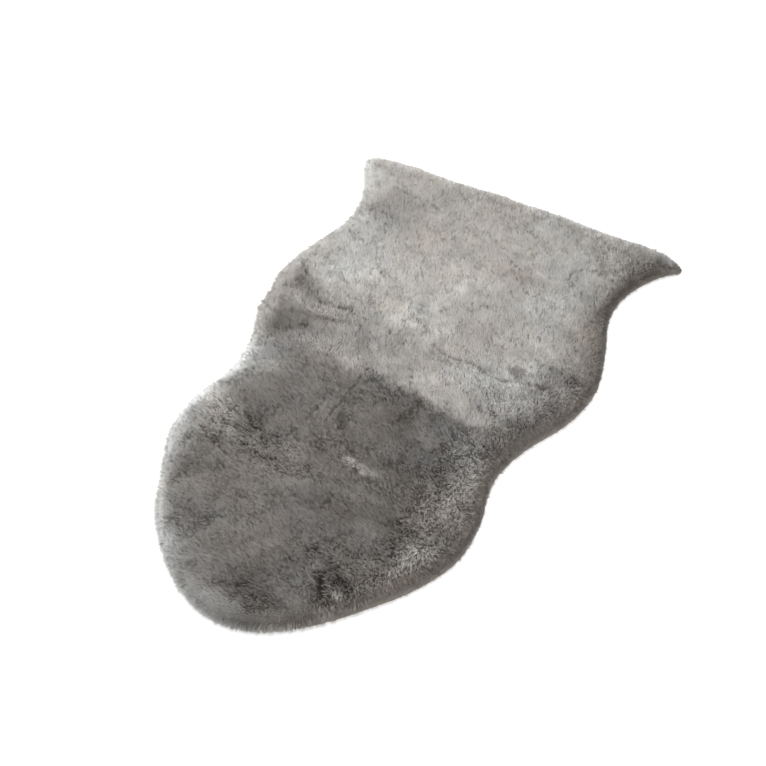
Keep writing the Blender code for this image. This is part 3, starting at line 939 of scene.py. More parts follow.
def suede():
    """Soft blotches of two browns, with a fine nap in the roughness and the bump."""
    material, tree, shader = principled("hide suede", MATT_FIBRES)
    place = new_node(tree, "ShaderNodeTexCoord").outputs["Object"]
    blotch = pattern(tree, "Noise", place, {"Scale": HIDE_CLOUDS, "Detail": 5.0}).outputs["Fac"]
    grain = pattern(tree, "Noise", place, {"Scale": NAP_GRAIN, "Detail": 2.0}).outputs["Fac"]
    mixed = calculated(tree, "MULTIPLY", blotch, grain)
    share = calculated(tree, "MULTIPLY", mixed, 3.0)
    feed(tree, shader, {
        "Base Color": tint_mix(tree, "MIX", share, HIDE_DARK, HIDE_COLOUR),
        "Roughness": ranged(tree, grain, *HIDE_ROUGHNESS),
        "Normal": new_node(tree, "ShaderNodeBump", {"Height": mixed, **HIDE_BUMP}).outputs[0],
    })
    return material


SUEDE = suede()

# %% The hide
HIDE_COLUMNS = slice(None, None, 2)      # every second line is enough for a flat sheet
HIDE_STEPS = 8

#   name,           inset,  height
HIDE_EDGE = (
    ("flesh side", 0.0125,  0.0002),
    ("cut edge",   0.0115,  0.0010),
    ("wool side",  0.0125,  0.0018),
)


def hide_grid():
    """Rows run from the spine out over the flesh side, round the cut edge and back over the wool side."""
    under, edge, over = (rim_ring(inset)[HIDE_COLUMNS] for _, inset, _ in HIDE_EDGE)
    low, middle, high = (height for _, _, height in HIDE_EDGE)
    feet = FEET[HIDE_COLUMNS]
    inwards = np.linspace(0.0, 1.0, HIDE_STEPS + 1)[:, None, None]
    flesh = blend(under, feet, inwards)[::-1]
    wool = blend(over, feet, inwards)
    plan = np.concatenate([flesh, edge[None], wool])
    rise = np.concatenate([np.full(HIDE_STEPS + 1, low), [middle], np.full(HIDE_STEPS + 1, high)])
    height = np.broadcast_to(rise[:, None, None], plan.shape[:2] + (1,))
    return np.concatenate([plan, height], axis=2)


grid = hide_grid()
rows, columns = grid.shape[:2]
faces = join_at_spine(join_at_spine(grid_faces(rows, columns), columns, 0), columns, rows - 1)
hide = put_mesh("hide", grid.reshape(-1, 3).tolist(), faces.tolist(), SUEDE)

# %% [markdown]
# ## The bed of wool
#
# The bed is one closed body: it starts as a flat underside on the hide, climbs round the rolled rim and runs
# in over the top to the spine. Its height is read from the maps, so it follows the same swells and partings
# as the tips above it.

# %% The bed
BED_STEPS = 28
BED_CROWDING = 1.3       # rows of the top lie closer together near the rim

#   name,         loose inset,  height,  cut inset,  height
BED_WALL = (
    ("foot",           0.0135,  0.0021,     0.0050,  0.0021),
    ("under roll",     0.0108,  0.0045,     0.0014,  0.0055),
    ("low side",       0.0094,  0.0075,     0.0006,  0.0115),
    ("side",           0.0094,  0.0105,     0.0012,  0.0172),
    ("brow",           0.0104,  0.0130,     0.0046,  0.0200),
)
CUT_ROUND = read_map(CUT_SIDE, rim_ring(0.006))


def wall_ring(loose_inset, loose_height, cut_inset, cut_height):
    """One ring of the wall: each point blends its loose and its cut place by how cut the rim is there."""
    inset = blend(loose_inset, cut_inset, CUT_ROUND)
    height = blend(loose_height, cut_height, CUT_ROUND)
    return np.column_stack([rim_ring(inset[:, None]), height * thinness(OUTLINE)])


WALL = np.stack([wall_ring(*row[1:]) for row in BED_WALL])


def bed_grid():
    """Rings of the wall, then lines to the spine whose height is read from the bed's map."""
    inwards = (np.linspace(0.0, 1.0, BED_STEPS + 1) ** BED_CROWDING)[1:, None, None]
    top = blend(WALL[-1, :, :2], FEET, inwards)
    return np.concatenate([WALL, np.concatenate([top, read_map(BED_HEIGHT, top)[..., None]], axis=2)])


grid = bed_grid()
rows, columns = grid.shape[:2]
faces = join_at_spine(grid_faces(rows, columns), columns, rows - 1).tolist()
underside = list(reversed(range(columns)))
bed = put_mesh("wool_bed", grid.reshape(-1, 3).tolist(), faces + [underside], BED_WOOL)

# %% What the bed's material reads
STRAND_SLOWNESS = 0.12   # strands change this much less up the wall than round the rim
BED_SHADE = (0.03, 0.26)     # how much darker than the tufts the bed is, in calm and in tousled wool
CALM = (0.2, 0.7)        # tousle below which wool is calm, and above which it is not


def give(piece, name, kind, field, values):
    """A value for each point of the piece."""
    held = piece.data.attributes.new(name, kind, "POINT")
    held.data.foreach_set(field, np.asarray(values, np.float32).ravel())


turn = 2 * np.pi * np.arange(columns) / columns
circle = columns * OUTLINE_STEP / (2 * np.pi) * unit(turn)
around = np.broadcast_to(circle, grid[..., :2].shape)
strand = np.concatenate([around, STRAND_SLOWNESS * grid[..., 2:]], axis=2)
on_wall = np.broadcast_to((np.arange(rows) < len(BED_WALL) + 2)[:, None], (rows, columns))
shade = blend(*BED_SHADE, soft_step(read_map(TOUSLE, grid[..., :2]), *CALM))
give(bed, "tone", "FLOAT", "value", read_map(TONE, grid[..., :2]) - shade * ~on_wall)
give(bed, "warmth", "FLOAT", "value", read_map(WARMTH, grid[..., :2]))
give(bed, "wall", "FLOAT", "value", on_wall)
give(bed, "strand", "FLOAT_VECTOR", "vector", strand)

# %% [markdown]
# ## Tufts
#
# Real fleece has thousands of fibres to the square centimetre, which cling together in small pointed tufts.
# Hair systems could draw them, but only in one program. Here a tuft is a closed three-sided spike, and one
# mesh holds many thousand of them, built as whole arrays: all the roots, all the tips, and one short table
# of the triangles of a single spike.

# %% One spike, and many of them in one mesh
# Corners 0, 1, 2 lie round the root, 3, 4, 5 round the middle of a bent spike, and the last one is the tip.
STRAIGHT = ((2, 1, 0), (0, 1, 3), (1, 2, 3), (2, 0, 3))
BENT = (
    (2, 1, 0), (0, 1, 4), (0, 4, 3), (1, 2, 5), (1, 5, 4),
    (2, 0, 3), (2, 3, 5), (3, 4, 6), (4, 5, 6), (5, 3, 6),
)
BEND_AT, BEND_WIDTH = 0.55, 0.80     # where along a bent spike its middle lies, and how wide it still is


def crosswise(ahead, turn):
    """Two unit vectors square to each unit vector ahead, and to each other, turned round it by an angle."""
    steep = np.abs(ahead[:, 2:]) > 0.8
    helper = np.where(steep, (1.0, 0.0, 0.0), (0.0, 0.0, 1.0))
    side = np.cross(ahead, helper)
    side /= np.linalg.norm(side, axis=1, keepdims=True)
    other = np.cross(ahead, side)
    cos, sin = np.cos(turn)[:, None], np.sin(turn)[:, None]
    return cos * side + sin * other, cos * other - sin * side


def spikes(roots, tips, radius, turn, bow=None):
    """Corners of spikes: three round the root, three round the middle if it bows, and the tip. Each ring is
    centre + radius * (cos * side + sin * other) at thirds of a turn. Also each corner's way out."""
    ahead = tips - roots
    ahead /= np.linalg.norm(ahead, axis=1, keepdims=True)
    side, other = crosswise(ahead, turn)
    thirds = 2 * np.pi * np.arange(3) / 3
    ways = np.cos(thirds)[:, None] * side[:, None] + np.sin(thirds)[:, None] * other[:, None]
    corners = [roots[:, None] + radius[:, None, None] * ways]
    outs = [ways]
    if bow is not None:
        middle = roots + BEND_AT * (tips - roots) + bow
        corners.append(middle[:, None] + BEND_WIDTH * radius[:, None, None] * ways)
        outs.append(ways)
    return np.concatenate(corners + [tips[:, None]], axis=1), np.concatenate(outs + [ahead[:, None]], axis=1)


# %% A mesh of tufts
SOFTNESS = 0.72          # share of the wool surface's own normal in a tuft's normals
SLIVER = 0.0008          # half the width of a tuft on the table map
# Each corner's place along the fibre, from its foot to its tip, and across the sliver
STRAIGHT_ALONG, STRAIGHT_ACROSS = (0.0, 0.0, 0.03, 1.0), (-1.0, 1.0, 0.0, 0.0)
BENT_ALONG = (0.0, 0.0, 0.03, BEND_AT, BEND_AT, BEND_AT, 1.0)
BENT_ACROSS = (-1.0, 1.0, 0.0, -1.0, 1.0, 0.0, 0.0)


def triangle_mesh(name, points, faces):
    """A mesh filled from whole arrays: three coordinates a point, and three point numbers a triangle."""
    data = bpy.data.meshes.new(name)
    data.vertices.add(len(points))
    data.vertices.foreach_set("co", points.astype(np.float32).ravel())
    data.loops.add(faces.size)
    data.loops.foreach_set("vertex_index", faces.astype(np.int32).ravel())
    data.polygons.add(len(faces))
    data.polygons.foreach_set("loop_start", np.arange(0, faces.size, 3, dtype=np.int32))
    data.update(calc_edges=True)
    return data


def table_places(tone, warmth, foot, bent):
    """Each corner's place on the table map: across it the tone, give or take a sliver, and up it the strip
    of the warmth and the place along the fibre, from the foot to 1 at the tip."""
    along = np.array(BENT_ALONG if bent else STRAIGHT_ALONG)
    across = np.array(BENT_ACROSS if bent else STRAIGHT_ACROSS)
    strip = np.clip(np.floor(warmth * STRIPS), 0, STRIPS - 1)[:, None]
    places = np.empty((len(tone), len(along), 2), np.float32)
    places[..., 0] = np.clip(tone, 0.01, 0.99)[:, None] + SLIVER * across
    places[..., 1] = (strip + STRIP_MARGIN + (1 - 2 * STRIP_MARGIN) * (foot + (1 - foot) * along)) / STRIPS
    return places.reshape(-1, 2)


def put_tufts(name, seed, roots, tips, radius, tone, warmth, lie, bow=None, foot=None):
    """One mesh of spikes. Its normals lie between each spike's own and the wool surface's, so that light
    runs over the tufts as softly as over real wool. A tuft with a foot above 0 begins that far along the
    fibre, so its lower end is paler."""
    count = len(roots)
    turn = np.random.default_rng(seed).uniform(0, 2 * np.pi, count)
    points, outs = spikes(roots, tips, radius, turn, bow)
    shape = np.array(STRAIGHT if bow is None else BENT)
    faces = (np.arange(count)[:, None, None] * points.shape[1] + shape).reshape(-1, 3)
    data = triangle_mesh(name, points.reshape(-1, 3), faces)
    start = np.zeros((count, 1)) if foot is None else foot[:, None]
    places = table_places(tone, warmth, start, bow is not None)
    layer = data.uv_layers.new(name=TABLE_MAP, do_init=False)
    layer.uv.foreach_set("vector", places[faces.ravel()].ravel())
    normals = SOFTNESS * lie[:, None] + (1 - SOFTNESS) * outs
    normals /= np.linalg.norm(normals, axis=2, keepdims=True)
    data.normals_split_custom_set_from_vertices(normals.reshape(-1, 3).tolist())
    data.materials.append(TUFT_WOOL)
    print(f"{name}: {count} tufts, {len(faces)} triangles")
    return put(name, data)


# %% [markdown]
# ## The pile
#
# The roots stand in staggered rows, each moved a little by chance. The tips lie where the brushing takes
# them, drawn together into clumps, and parted along the creases. Because every tip ends at the height of the
# shorn surface, tufts that lean more are longer, as on the real skin.

# %% Where the tufts stand
PILE_SPACING = 0.00175   # between the roots in a row
PILE_JITTER = 0.42       # most that a root moves, as a share of the spacing
PILE_INSET = (0.0100, 0.0090)    # roots nearer the outline than this belong to the rim: loose side, cut side


def scattered_roots(rule):
    """Staggered rows over the plan, each place moved by chance, kept where the inset is large enough."""
    across = np.arange(PLAN_X[0], PLAN_X[-1], PILE_SPACING)
    along = np.arange(PLAN_Y[0], PLAN_Y[-1], PILE_SPACING * np.sqrt(3) / 2)
    places = np.stack(np.meshgrid(across, along), axis=-1)
    places[1::2, :, 0] += PILE_SPACING / 2
    places = places.reshape(-1, 2)
    places += PILE_SPACING * rule.uniform(-PILE_JITTER, PILE_JITTER, places.shape)
    return places[read_map(INSET - blend(*PILE_INSET, CUT_SIDE), places) > 0]


# %% Which lock each tuft belongs to
LOCK_SIZE = 0.0046       # side of the lattice's squares, each with the middle of one lock
LOCK_ROUNDING = 0.45     # how far the surface leans outwards at a lock's side, to shade it as a round lump
LOCK_STRETCH = 1.7       # how much longer than wide a lock is


def nearest_lock(places, ahead, rule):
    """A lock has its middle at random in each square of a lattice. A tuft belongs to the nearest one, where
    a step along the brushing counts LOCK_STRETCH times less than a step across. For each place: the step to
    that middle along the brushing and across it, its length in lock sizes, and three numbers from -1 to 1
    that belong to the lock."""
    counts = np.ceil((PLAN[-1, -1] - PLAN[0, 0]) / LOCK_SIZE).astype(int)[::-1] + 3
    squares = np.stack(np.meshgrid(np.arange(counts[1]), np.arange(counts[0])), axis=-1)
    middles = PLAN[0, 0] + (squares - 1 + rule.uniform(0, 1, squares.shape)) * LOCK_SIZE
    traits = rule.uniform(-1, 1, (*counts, 3))
    column, row = (((places - PLAN[0, 0]) / LOCK_SIZE).astype(int) + 1).T
    across = square_to(ahead)
    step, nearest, trait = np.zeros_like(places), np.full(len(places), np.inf), np.zeros((len(places), 3))
    for up, over in np.ndindex(3, 3):
        gap = middles[row + up - 1, column + over - 1] - places
        gap = np.stack([(gap * ahead).sum(axis=1), (gap * across).sum(axis=1)], axis=1)
        length = np.hypot(gap[:, 0] / LOCK_STRETCH, gap[:, 1])
        nearer = length < nearest
        step[nearer], nearest[nearer] = gap[nearer], length[nearer]
        trait[nearer] = traits[row + up - 1, column + over - 1][nearer]
    return step, nearest / LOCK_SIZE, trait


# %% Creases: thin lines where the tufts lean apart and the bed shows
#   name,                   depth,   width,   whole, line
CREASES = (
    ("fold left",           0.0045,  0.0020,  0.9,
     ((-0.187, 0.087), (-0.176, 0.082), (-0.160, 0.081), (-0.140, 0.085), (-0.128, 0.086), (-0.117, 0.081))),
    ("fold left end",       0.0035,  0.0015,  0.5,   ((-0.117, 0.081), (-0.100, 0.080), (-0.070, 0.078))),
    ("fold left low",       0.0035,  0.0017,  0.5,   ((-0.185, 0.064), (-0.160, 0.059), (-0.120, 0.061))),
    ("fold middle",         0.0042,  0.0017,  0.8,
     ((0.025, 0.081), (0.058, 0.077), (0.080, 0.079), (0.093, 0.079), (0.107, 0.075))),
    ("fold middle two",     0.0060,  0.0020,  1.8,
     ((0.107, 0.075), (0.122, 0.070), (0.143, 0.068), (0.156, 0.073), (0.173, 0.077))),
    ("fold right",          0.0055,  0.0020,  1.5,
     ((0.173, 0.077), (0.185, 0.081), (0.198, 0.082), (0.208, 0.083), (0.220, 0.089))),
    ("fold branch",         0.0035,  0.0016,  0.6,   ((0.180, 0.100), (0.190, 0.094), (0.198, 0.084))),
    ("band mark",           0.0060,  0.0028,  1.7,   ((0.143, 0.002), (0.149, -0.004))),
    ("band mark two",       0.0060,  0.0026,  1.7,   ((0.161, 0.003), (0.167, -0.001))),
    ("hook",                0.0035,  0.0016,  0.7,   ((0.070, 0.045), (0.075, 0.038), (0.087, 0.041))),
    ("shoulder streak",     0.0040,  0.0018,  0.8,   ((0.240, 0.124), (0.262, 0.118))),
    ("shoulder streak two", 0.0040,  0.0018,  0.8,   ((0.246, 0.108), (0.268, 0.103))),
    ("waist mark",          0.0050,  0.0022,  1.0,   ((-0.178, 0.021), (-0.166, 0.026))),
    ("spine crease",        0.0048,  0.0018,  1.0,
     ((-0.038, -0.008), (-0.039, -0.038), (-0.042, -0.067), (-0.043, -0.097), (-0.044, -0.124))),
    ("rib crease",          0.0042,  0.0020,  0.8,   ((-0.246, 0.142), (-0.238, 0.130), (-0.222, 0.121))),
    ("cheek crease",        0.0055,  0.0022,  0.8,
     ((-0.134, -0.222), (-0.126, -0.223), (-0.109, -0.226),
      (-0.099, -0.227), (-0.083, -0.227), (-0.069, -0.223))),
    ("cheek end",           0.0040,  0.0016,  0.7,   ((-0.062, -0.228), (-0.053, -0.237), (-0.040, -0.236))),
    ("cheek brow",          0.0055,  0.0022,  0.9,   ((-0.150, -0.170), (-0.136, -0.180), (-0.120, -0.191))),
    ("cheek brow two",      0.0045,  0.0018,  0.7,   ((-0.111, -0.186), (-0.092, -0.186), (-0.073, -0.184))),
    ("cheek slant",         0.0050,  0.0020,  0.9,   ((-0.192, -0.220), (-0.177, -0.232), (-0.160, -0.240))),
    ("cheek slant two",     0.0045,  0.0020,  0.8,   ((-0.172, -0.224), (-0.156, -0.236), (-0.140, -0.246))),
    ("throat crease",       0.0030,  0.0014,  0.8,   ((-0.052, -0.154), (-0.034, -0.158), (-0.018, -0.154))),
    ("throat drop",         0.0030,  0.0014,  0.8,   ((-0.002, -0.152), (0.004, -0.168))),
    ("lip crease",          0.0110,  0.0034,  1.9,
     ((0.083, -0.361), (0.098, -0.367), (0.112, -0.383), (0.126, -0.389), (0.143, -0.394))),
    ("lip crease two",      0.0050,  0.0020,  0.8,   ((0.112, -0.348), (0.126, -0.352), (0.134, -0.358))),
    ("rump crease",         0.0042,  0.0018,  0.9,   ((0.160, 0.352), (0.149, 0.335), (0.151, 0.318))),
    ("rump crease two",     0.0030,  0.0014,  0.7,   ((0.153, 0.300), (0.160, 0.290), (0.165, 0.282))),
    ("tail mark",           0.0040,  0.0016,  0.9,   ((0.165, 0.355), (0.178, 0.352), (0.184, 0.362))),
    ("tail mark two",       0.0050,  0.0026,  1.0,   ((0.205, 0.423), (0.216, 0.418))),
    ("edge mark",           0.0035,  0.0017,  0.8,   ((0.142, 0.446), (0.156, 0.443))),
)

# %% How the wool parts along them
CREASE_REACH = 1.8       # the tufts lean apart this many widths out from the crease
CREASE_DIP = 0.8         # how much less they lean in its middle
CREASE_BREAKS = ((0.9, 0.010, 51), (0.6, 0.005, 54))     # clouds that break a crease up


def part_the_wool(places):
    """For each place the way out of the nearest creases, how strongly the wool parts there, and how far the
    tips sink: both are bells over the distance, the first with a dip in its middle. A cloud breaks a crease
    up, the less so the more whole it is, and others make it waver."""
    way, strength, sink = np.zeros_like(places), np.zeros(len(places)), np.zeros(len(places))
    breaks = clouds(CREASE_BREAKS, places)
    moved = places + 0.0028 * waver(0.012, (52, 53), places)
    moved += 0.0018 * waver(0.005, (55, 56), places)
    for _, depth, width, whole, line in CREASES:
        broken = np.clip(whole + breaks, 0.0, 1.1)
        step, gap = from_line(moved, parting_line(line))
        parted = (bell(gap, CREASE_REACH * width) - CREASE_DIP * bell(gap, width)) * broken
        way += step / np.maximum(gap, 1e-5)[:, None] * parted[:, None]
        strength = np.maximum(strength, np.minimum(parted, 1.0))
        sink = np.maximum(sink, depth * bell(gap, width) * broken)
    return way, strength, sink


# %% Wrinkles: short thin lines all over, where curls part
WRINKLES = ((0.014, 0.10, 57), (0.009, 0.12, 60))    # size of the cloud, share of it that is line, seed


def wrinkled(places):
    """1 on the lines where a cloud passes through zero, as a bell over the cloud's value. A second, coarser
    cloud leaves only some runs of the lines."""
    total = np.zeros(len(places))
    for size, width, seed in WRINKLES:
        line = bell(cloud(size, seed, places), width)
        total = np.maximum(total, line * soft_step(cloud(1.4 * size, seed + 1, places), 0.0, 0.6))
    return total


# %% The tips of the pile
PILE_DEPTH = 0.0072      # from the bed to the tips, on the crown
ROOT_DEPTH = 0.0008      # how far the roots stand inside the bed
LEAST_RISE = 0.0015      # how far a tip stands over its root at least
TUFT_RADIUS = 0.00084
TUFT_WARMTH = 0.12       # spread of the warmth from tuft to tuft
CALM_FOOT = 0.6          # share of a fibre's lower end that calm wool hides
CALM_LIE = 1.2           # how much more of the surface's own normal calm wool has
CALM_WIDTH = 0.15        # how much wider a calm tuft is

# Leans, in pile depths: out of a crease, a tousled lock's own, and by chance, on the neck and more tailward
PARTED_LEAN, LOCK_LEAN, CRIMP = 0.5, 0.35, (0.10, 0.20)
LOCK_PULL = (0.30, 0.50)         # share of the way to its lock's middle that a tip goes, along and across
LOCK_DROOP = (0.0004, 0.0040)    # how much lower a lock's outer tips end, and how much more if tousled
LOCK_RISE = 0.0006       # how much higher or lower a tousled lock ends as a whole
TIP_CHANCE = 0.0003      # spread of the tips' heights
WRINKLE_DEPTH = 0.0022

# How much darker a tuft is: for each metre that it sinks in a crease, in a wrinkle, and outermost in a lock
CREASE_SHADE, WRINKLE_SHADE, GAP_SHADE = 85.0, 0.08, 0.26
LOCK_TONE = 0.10         # how much a tousled lock's tone differs from the next one's
# Painted light on the middle of a tousled lock, which the painted gap shade takes back at its sides.
TOUSLE_LIGHT = 0.09       # how much paler the middle of a tousled lock is
SPECKLE = (0.010, 0.012, 0.016)  # spread of the tones on the neck, and more tailward and if tousled
FLECK = (0.008, 0.014)   # change of tone from one small group of tufts to the next, and more tailward
FLECK_SIZE = 0.0030


def grow_pile():
    """Root: on the bed. Tip: root + pile depth * (nap + lock's lean + chance), drawn to the lock's middle
    and away from creases, at the height of the shorn surface there, less the lock's droop and the crease's.
    """
    rule = np.random.default_rng(61)
    places = scattered_roots(rule)
    count = len(places)
    tousle, tailward, nap = (read_map(values, places) for values in (TOUSLE, TAILWARD, NAP))
    calm = 1.0 - soft_step(tousle, *CALM)
    ahead = nap / np.maximum(np.hypot(*nap.T), 1e-3)[:, None]
    to_lock, off_middle, trait = nearest_lock(places, ahead, rule)
    way, strength, sink = part_the_wool(places)
    lean = nap * rule.uniform(0.7, 1.2, (count, 1))
    lean = lean * (1 - strength)[:, None] + PARTED_LEAN * way
    crimp = CRIMP[0] + CRIMP[1] * tailward[:, None]
    lean += LOCK_LEAN * tousle[:, None] * trait[:, :2] + crimp * rule.normal(0.0, 1.0, places.shape)
    inwards = to_lock[:, :1] * ahead, to_lock[:, 1:] * square_to(ahead)
    drawn = LOCK_PULL[0] * inwards[0] + LOCK_PULL[1] * inwards[1]
    ends = places + PILE_DEPTH * lean + drawn * (0.25 + tousle)[:, None]
    droop = (LOCK_DROOP[0] + LOCK_DROOP[1] * tousle) * off_middle ** 2
    height = read_map(TIP_HEIGHT, ends) + rule.normal(0.0, TIP_CHANCE, count) - droop - sink
    wrinkle = wrinkled(places) * np.maximum(tousle - LEAST_TOUSLE, 0.0)
    height += LOCK_RISE * tousle * trait[:, 2] - WRINKLE_DEPTH * wrinkle
    rounding = (inwards[0] + inwards[1]) * (LOCK_ROUNDING / LOCK_SIZE * (0.4 + tousle)[:, None])
    rounded = np.column_stack([rounding, np.zeros(count)])
    roots = np.column_stack([places, read_map(BED_HEIGHT, places) - ROOT_DEPTH])
    tips = np.column_stack([ends, np.maximum(height, roots[:, 2] + LEAST_RISE)])
    speckle = SPECKLE[0] + SPECKLE[1] * tailward + SPECKLE[2] * tousle
    fleck = (FLECK[0] + FLECK[1] * tailward) * cloud(FLECK_SIZE, 63, ends)
    tone = read_map(TONE, ends) + rule.normal(0.0, speckle) + fleck - CREASE_SHADE * sink
    tone += tousle * (LOCK_TONE * trait[:, 2] + TOUSLE_LIGHT - GAP_SHADE * off_middle ** 2)
    return {
        "roots": roots,
        "tips": tips,
        "radius": TUFT_RADIUS * (1 + CALM_WIDTH * calm) * rule.uniform(0.75, 1.25, count),
        "tone": tone - WRINKLE_SHADE * wrinkle,
        "warmth": read_map(WARMTH, places) + 0.08 * trait[:, 0] + rule.normal(0.0, TUFT_WARMTH, count),
        "lie": (read_map(SURFACE_NORMAL, ends) - rounded) * (1 + CALM_LIE * calm)[:, None],
        "foot": CALM_FOOT * calm,
    }


def picked(tufts, chosen):
    """The chosen tufts of a set."""
    return {name: values[chosen] for name, values in tufts.items()}


# %% Four pieces of pile
BANDS = (("neck", -1.0, -0.235), ("waist", -0.235, 0.0), ("body", 0.0, 0.235), ("tail", 0.235, 1.0))

tufts = grow_pile()
along = tufts["roots"][:, 1]
pile = []
for seed, (name, low, high) in enumerate(BANDS):
    pile.append(put_tufts(f"wool_pile_{name}", 70 + seed, **picked(tufts, (along >= low) & (along < high))))

# %% [markdown]
# ## The rim
#
# The wall of the bed gets its own tufts. On the upright side they lie close against it and point up, like
# thatch, so it stays as smooth as a cut edge. Everywhere else they stand out sideways to the outline, and
# loose locks and single wisps among them let the light through.

# %% Tufts on the wall
WALL_SPACING = 0.0015    # between the tufts of a row
WALL_ROWS = 11           # from the foot of the wall to its top
WALL_RADIUS = (0.00070, 0.00075)     # of a tuft on the loose side and on the cut side
WALL_CHANCE = 0.0014     # spread of the loose tips' insets
WALL_SWAY, WALL_SWEEP = 0.0022, 0.0030   # how far tips lean along the rim, singly and in groups
OFF_WALL = (0.0024, 0.0002, 0.0013)  # how far off the wall upright tips lie: at its foot, its top, by chance
UPRIGHT_RISE = 0.0050    # how far up the wall from its root an upright tip lies
LOWEST_ROOT, LOWEST_TIP = 0.0012, 0.0008     # metres above the floor
FOOT_LIGHT = 0.36        # how much paler the foot of the upright side is, where the floor lights it

#   name,       rise on the wall, inset of the loose tips, their height
ROLL = (
    ("foot",    0.00,  0.0042,  0.0016),
    ("low",     0.25,  0.0024,  0.0050),
    ("middle",  0.55,  0.0020,  0.0095),
    ("high",    0.80,  0.0034,  0.0140),
    ("top",     1.00,  0.0064,  0.0180),
)


def along_ring(ring, place):
    """Points of a closed line at places counted in its own points."""
    first = np.floor(place).astype(int)
    share = (place - first).reshape(-1, *[1] * (ring.ndim - 1))
    return ring[first % len(ring)] * (1 - share) + ring[(first + 1) % len(ring)] * share


def rim_ways(turn):
    """The unit vectors out of the rim and along it, at places counted round the outline."""
    way = along_ring(RIM_WAY, turn)
    way /= np.hypot(*way.T)[:, None]
    return way, square_to(way)


def wall_point(turn, rise):
    """A point of the wall: turn counts round the outline, and rise is 0 at its foot and 1 at its top."""
    at = np.stack([turn % RIM_POINTS, rise * (len(WALL) - 1)], axis=1)
    cell = np.minimum(at.astype(int), (RIM_POINTS - 1, len(WALL) - 2))
    return mix_corners(np.concatenate([WALL, WALL[:, :1]], axis=1), cell, at - cell)


# %% The wall of wool
def grow_wall():
    """Loose side: the tip lies a chance inset from the outline, a little lower than its root. Cut side: the
    tip lies up the wall from its root, just off it. Each tuft blends the two by how cut the rim is there."""
    rule = np.random.default_rng(81)
    count = int(RIM_POINTS * OUTLINE_STEP / WALL_SPACING)
    turn, row = (values.ravel() for values in np.meshgrid(np.arange(count), np.arange(WALL_ROWS)))
    turn = (turn + 0.5 * (row % 2) + rule.uniform(-0.4, 0.4, turn.shape)) * RIM_POINTS / count
    rise = np.clip((row + rule.uniform(-0.5, 0.5, row.shape)) / (WALL_ROWS - 1), 0.0, 1.0)
    cut = along_ring(CUT_ROUND, turn)
    way, beside = rim_ways(turn)
    root = wall_point(turn, rise)
    root[:, :2] -= ROOT_DEPTH * way
    inset, height = (read_rows(ROLL, rise, k) for k in (2, 3))
    inset += rule.normal(0.0, WALL_CHANCE, len(turn))
    sway = rule.normal(0.0, 1.0, len(turn))[:, None] * beside
    swept = cloud(0.009, 88, root[:, :2] + root[:, 2:])[:, None] * beside
    loose = np.column_stack([
        along_ring(EASED_OUTLINE, turn) - inset[:, None] * way + (WALL_SWAY * sway + WALL_SWEEP * swept),
        height + rule.normal(0.0, 0.0008, len(turn)),
    ])
    off_wall = blend(*OFF_WALL[:2], rise) + rule.exponential(OFF_WALL[2], len(turn))
    upright = root + np.column_stack([
        off_wall[:, None] * way + 0.0008 * sway,
        UPRIGHT_RISE + rule.normal(0.0, 0.0006, len(turn)),
    ])
    tips = blend(loose, upright, cut[:, None])
    tips[:, 2] = np.maximum(blend(root[:, 2], tips[:, 2], thinness(root[:, :2])), LOWEST_TIP)
    # The wool's own surface faces outwards and up by these degrees, the steeper the higher on the roll.
    lift = np.radians(12 - 22 * cut + (50 - 15 * cut) * rise)
    folded = tips[:, :2] + tips[:, 2:]
    tousle = read_map(TOUSLE, root[:, :2])
    lumps = (1 + 1.2 * tousle) * (0.06 * cloud(0.014, 85, folded) + 0.05 * cloud(0.007, 86, folded))
    turned = way + 0.6 * (1.0 - 0.5 * cut)[:, None] * beside * cloud(0.010, 87, folded)[:, None]
    foot_light = FOOT_LIGHT * cut * soft_step(0.7 - rise, 0.0, 0.6)
    return {
        "roots": np.column_stack([root[:, :2], np.maximum(root[:, 2], LOWEST_ROOT)]),
        "tips": tips,
        "radius": blend(*WALL_RADIUS, cut) * rule.uniform(0.8, 1.2, len(turn)),
        "tone": read_map(TONE, tips[:, :2]) + foot_light + lumps + rule.normal(0.0, 0.02 + 0.04 * tousle),
        "warmth": read_map(WARMTH, root[:, :2]) + rule.normal(0.0, 0.08, len(turn)),
        "lie": (2.0 - cut)[:, None] * np.column_stack([np.cos(lift)[:, None] * turned, np.sin(lift)]),
        "foot": 0.5 * (1.0 - cut),
    }


wall = put_tufts("wool_wall", 82, **grow_wall())

# %% Four kinds of loose wool
# Tries: places tried. Thick: a lock's radius. Paler: how much paler than the wool under it, painted light
# that shines through the thin loose wool. Bow: how far its middle bows up. Behind: where roots stand inside
# the outline, from and to. Past, the reach of the tips over the outline, and tip_height: the mean and its
# spread.
LOOSE = {
    "locks": {
        "seed": 91, "side": "loose", "tries": 3600, "thick": 0.00042, "paler": 0.03, "bow": 0.0030,
        "behind": (0.008, 0.014), "past": (0.0005, 0.0025), "tip_height": (0.012, 0.005),
    },
    "wisps": {
        "seed": 92, "side": "loose", "tries": 14000, "thick": 0.00022, "paler": 0.12,
        "behind": (0.008, 0.014), "past": (0.003, 0.0035), "tip_height": (0.010, 0.006),
    },
    "eaves": {
        "seed": 93, "side": "cut", "tries": 10500, "thick": 0.00056, "paler": 0.06, "bow": 0.0025,
        "behind": (0.008, 0.017), "past": (-0.0012, 0.0020), "tip_height": (0.0135, 0.0045),
    },
    "fuzz": {
        "seed": 94, "side": "cut", "tries": 32000, "thick": 0.00022, "paler": -0.02,
        "behind": (0.004, 0.009), "past": (0.0012, 0.0014), "tip_height": (0.009, 0.006),
    },
}

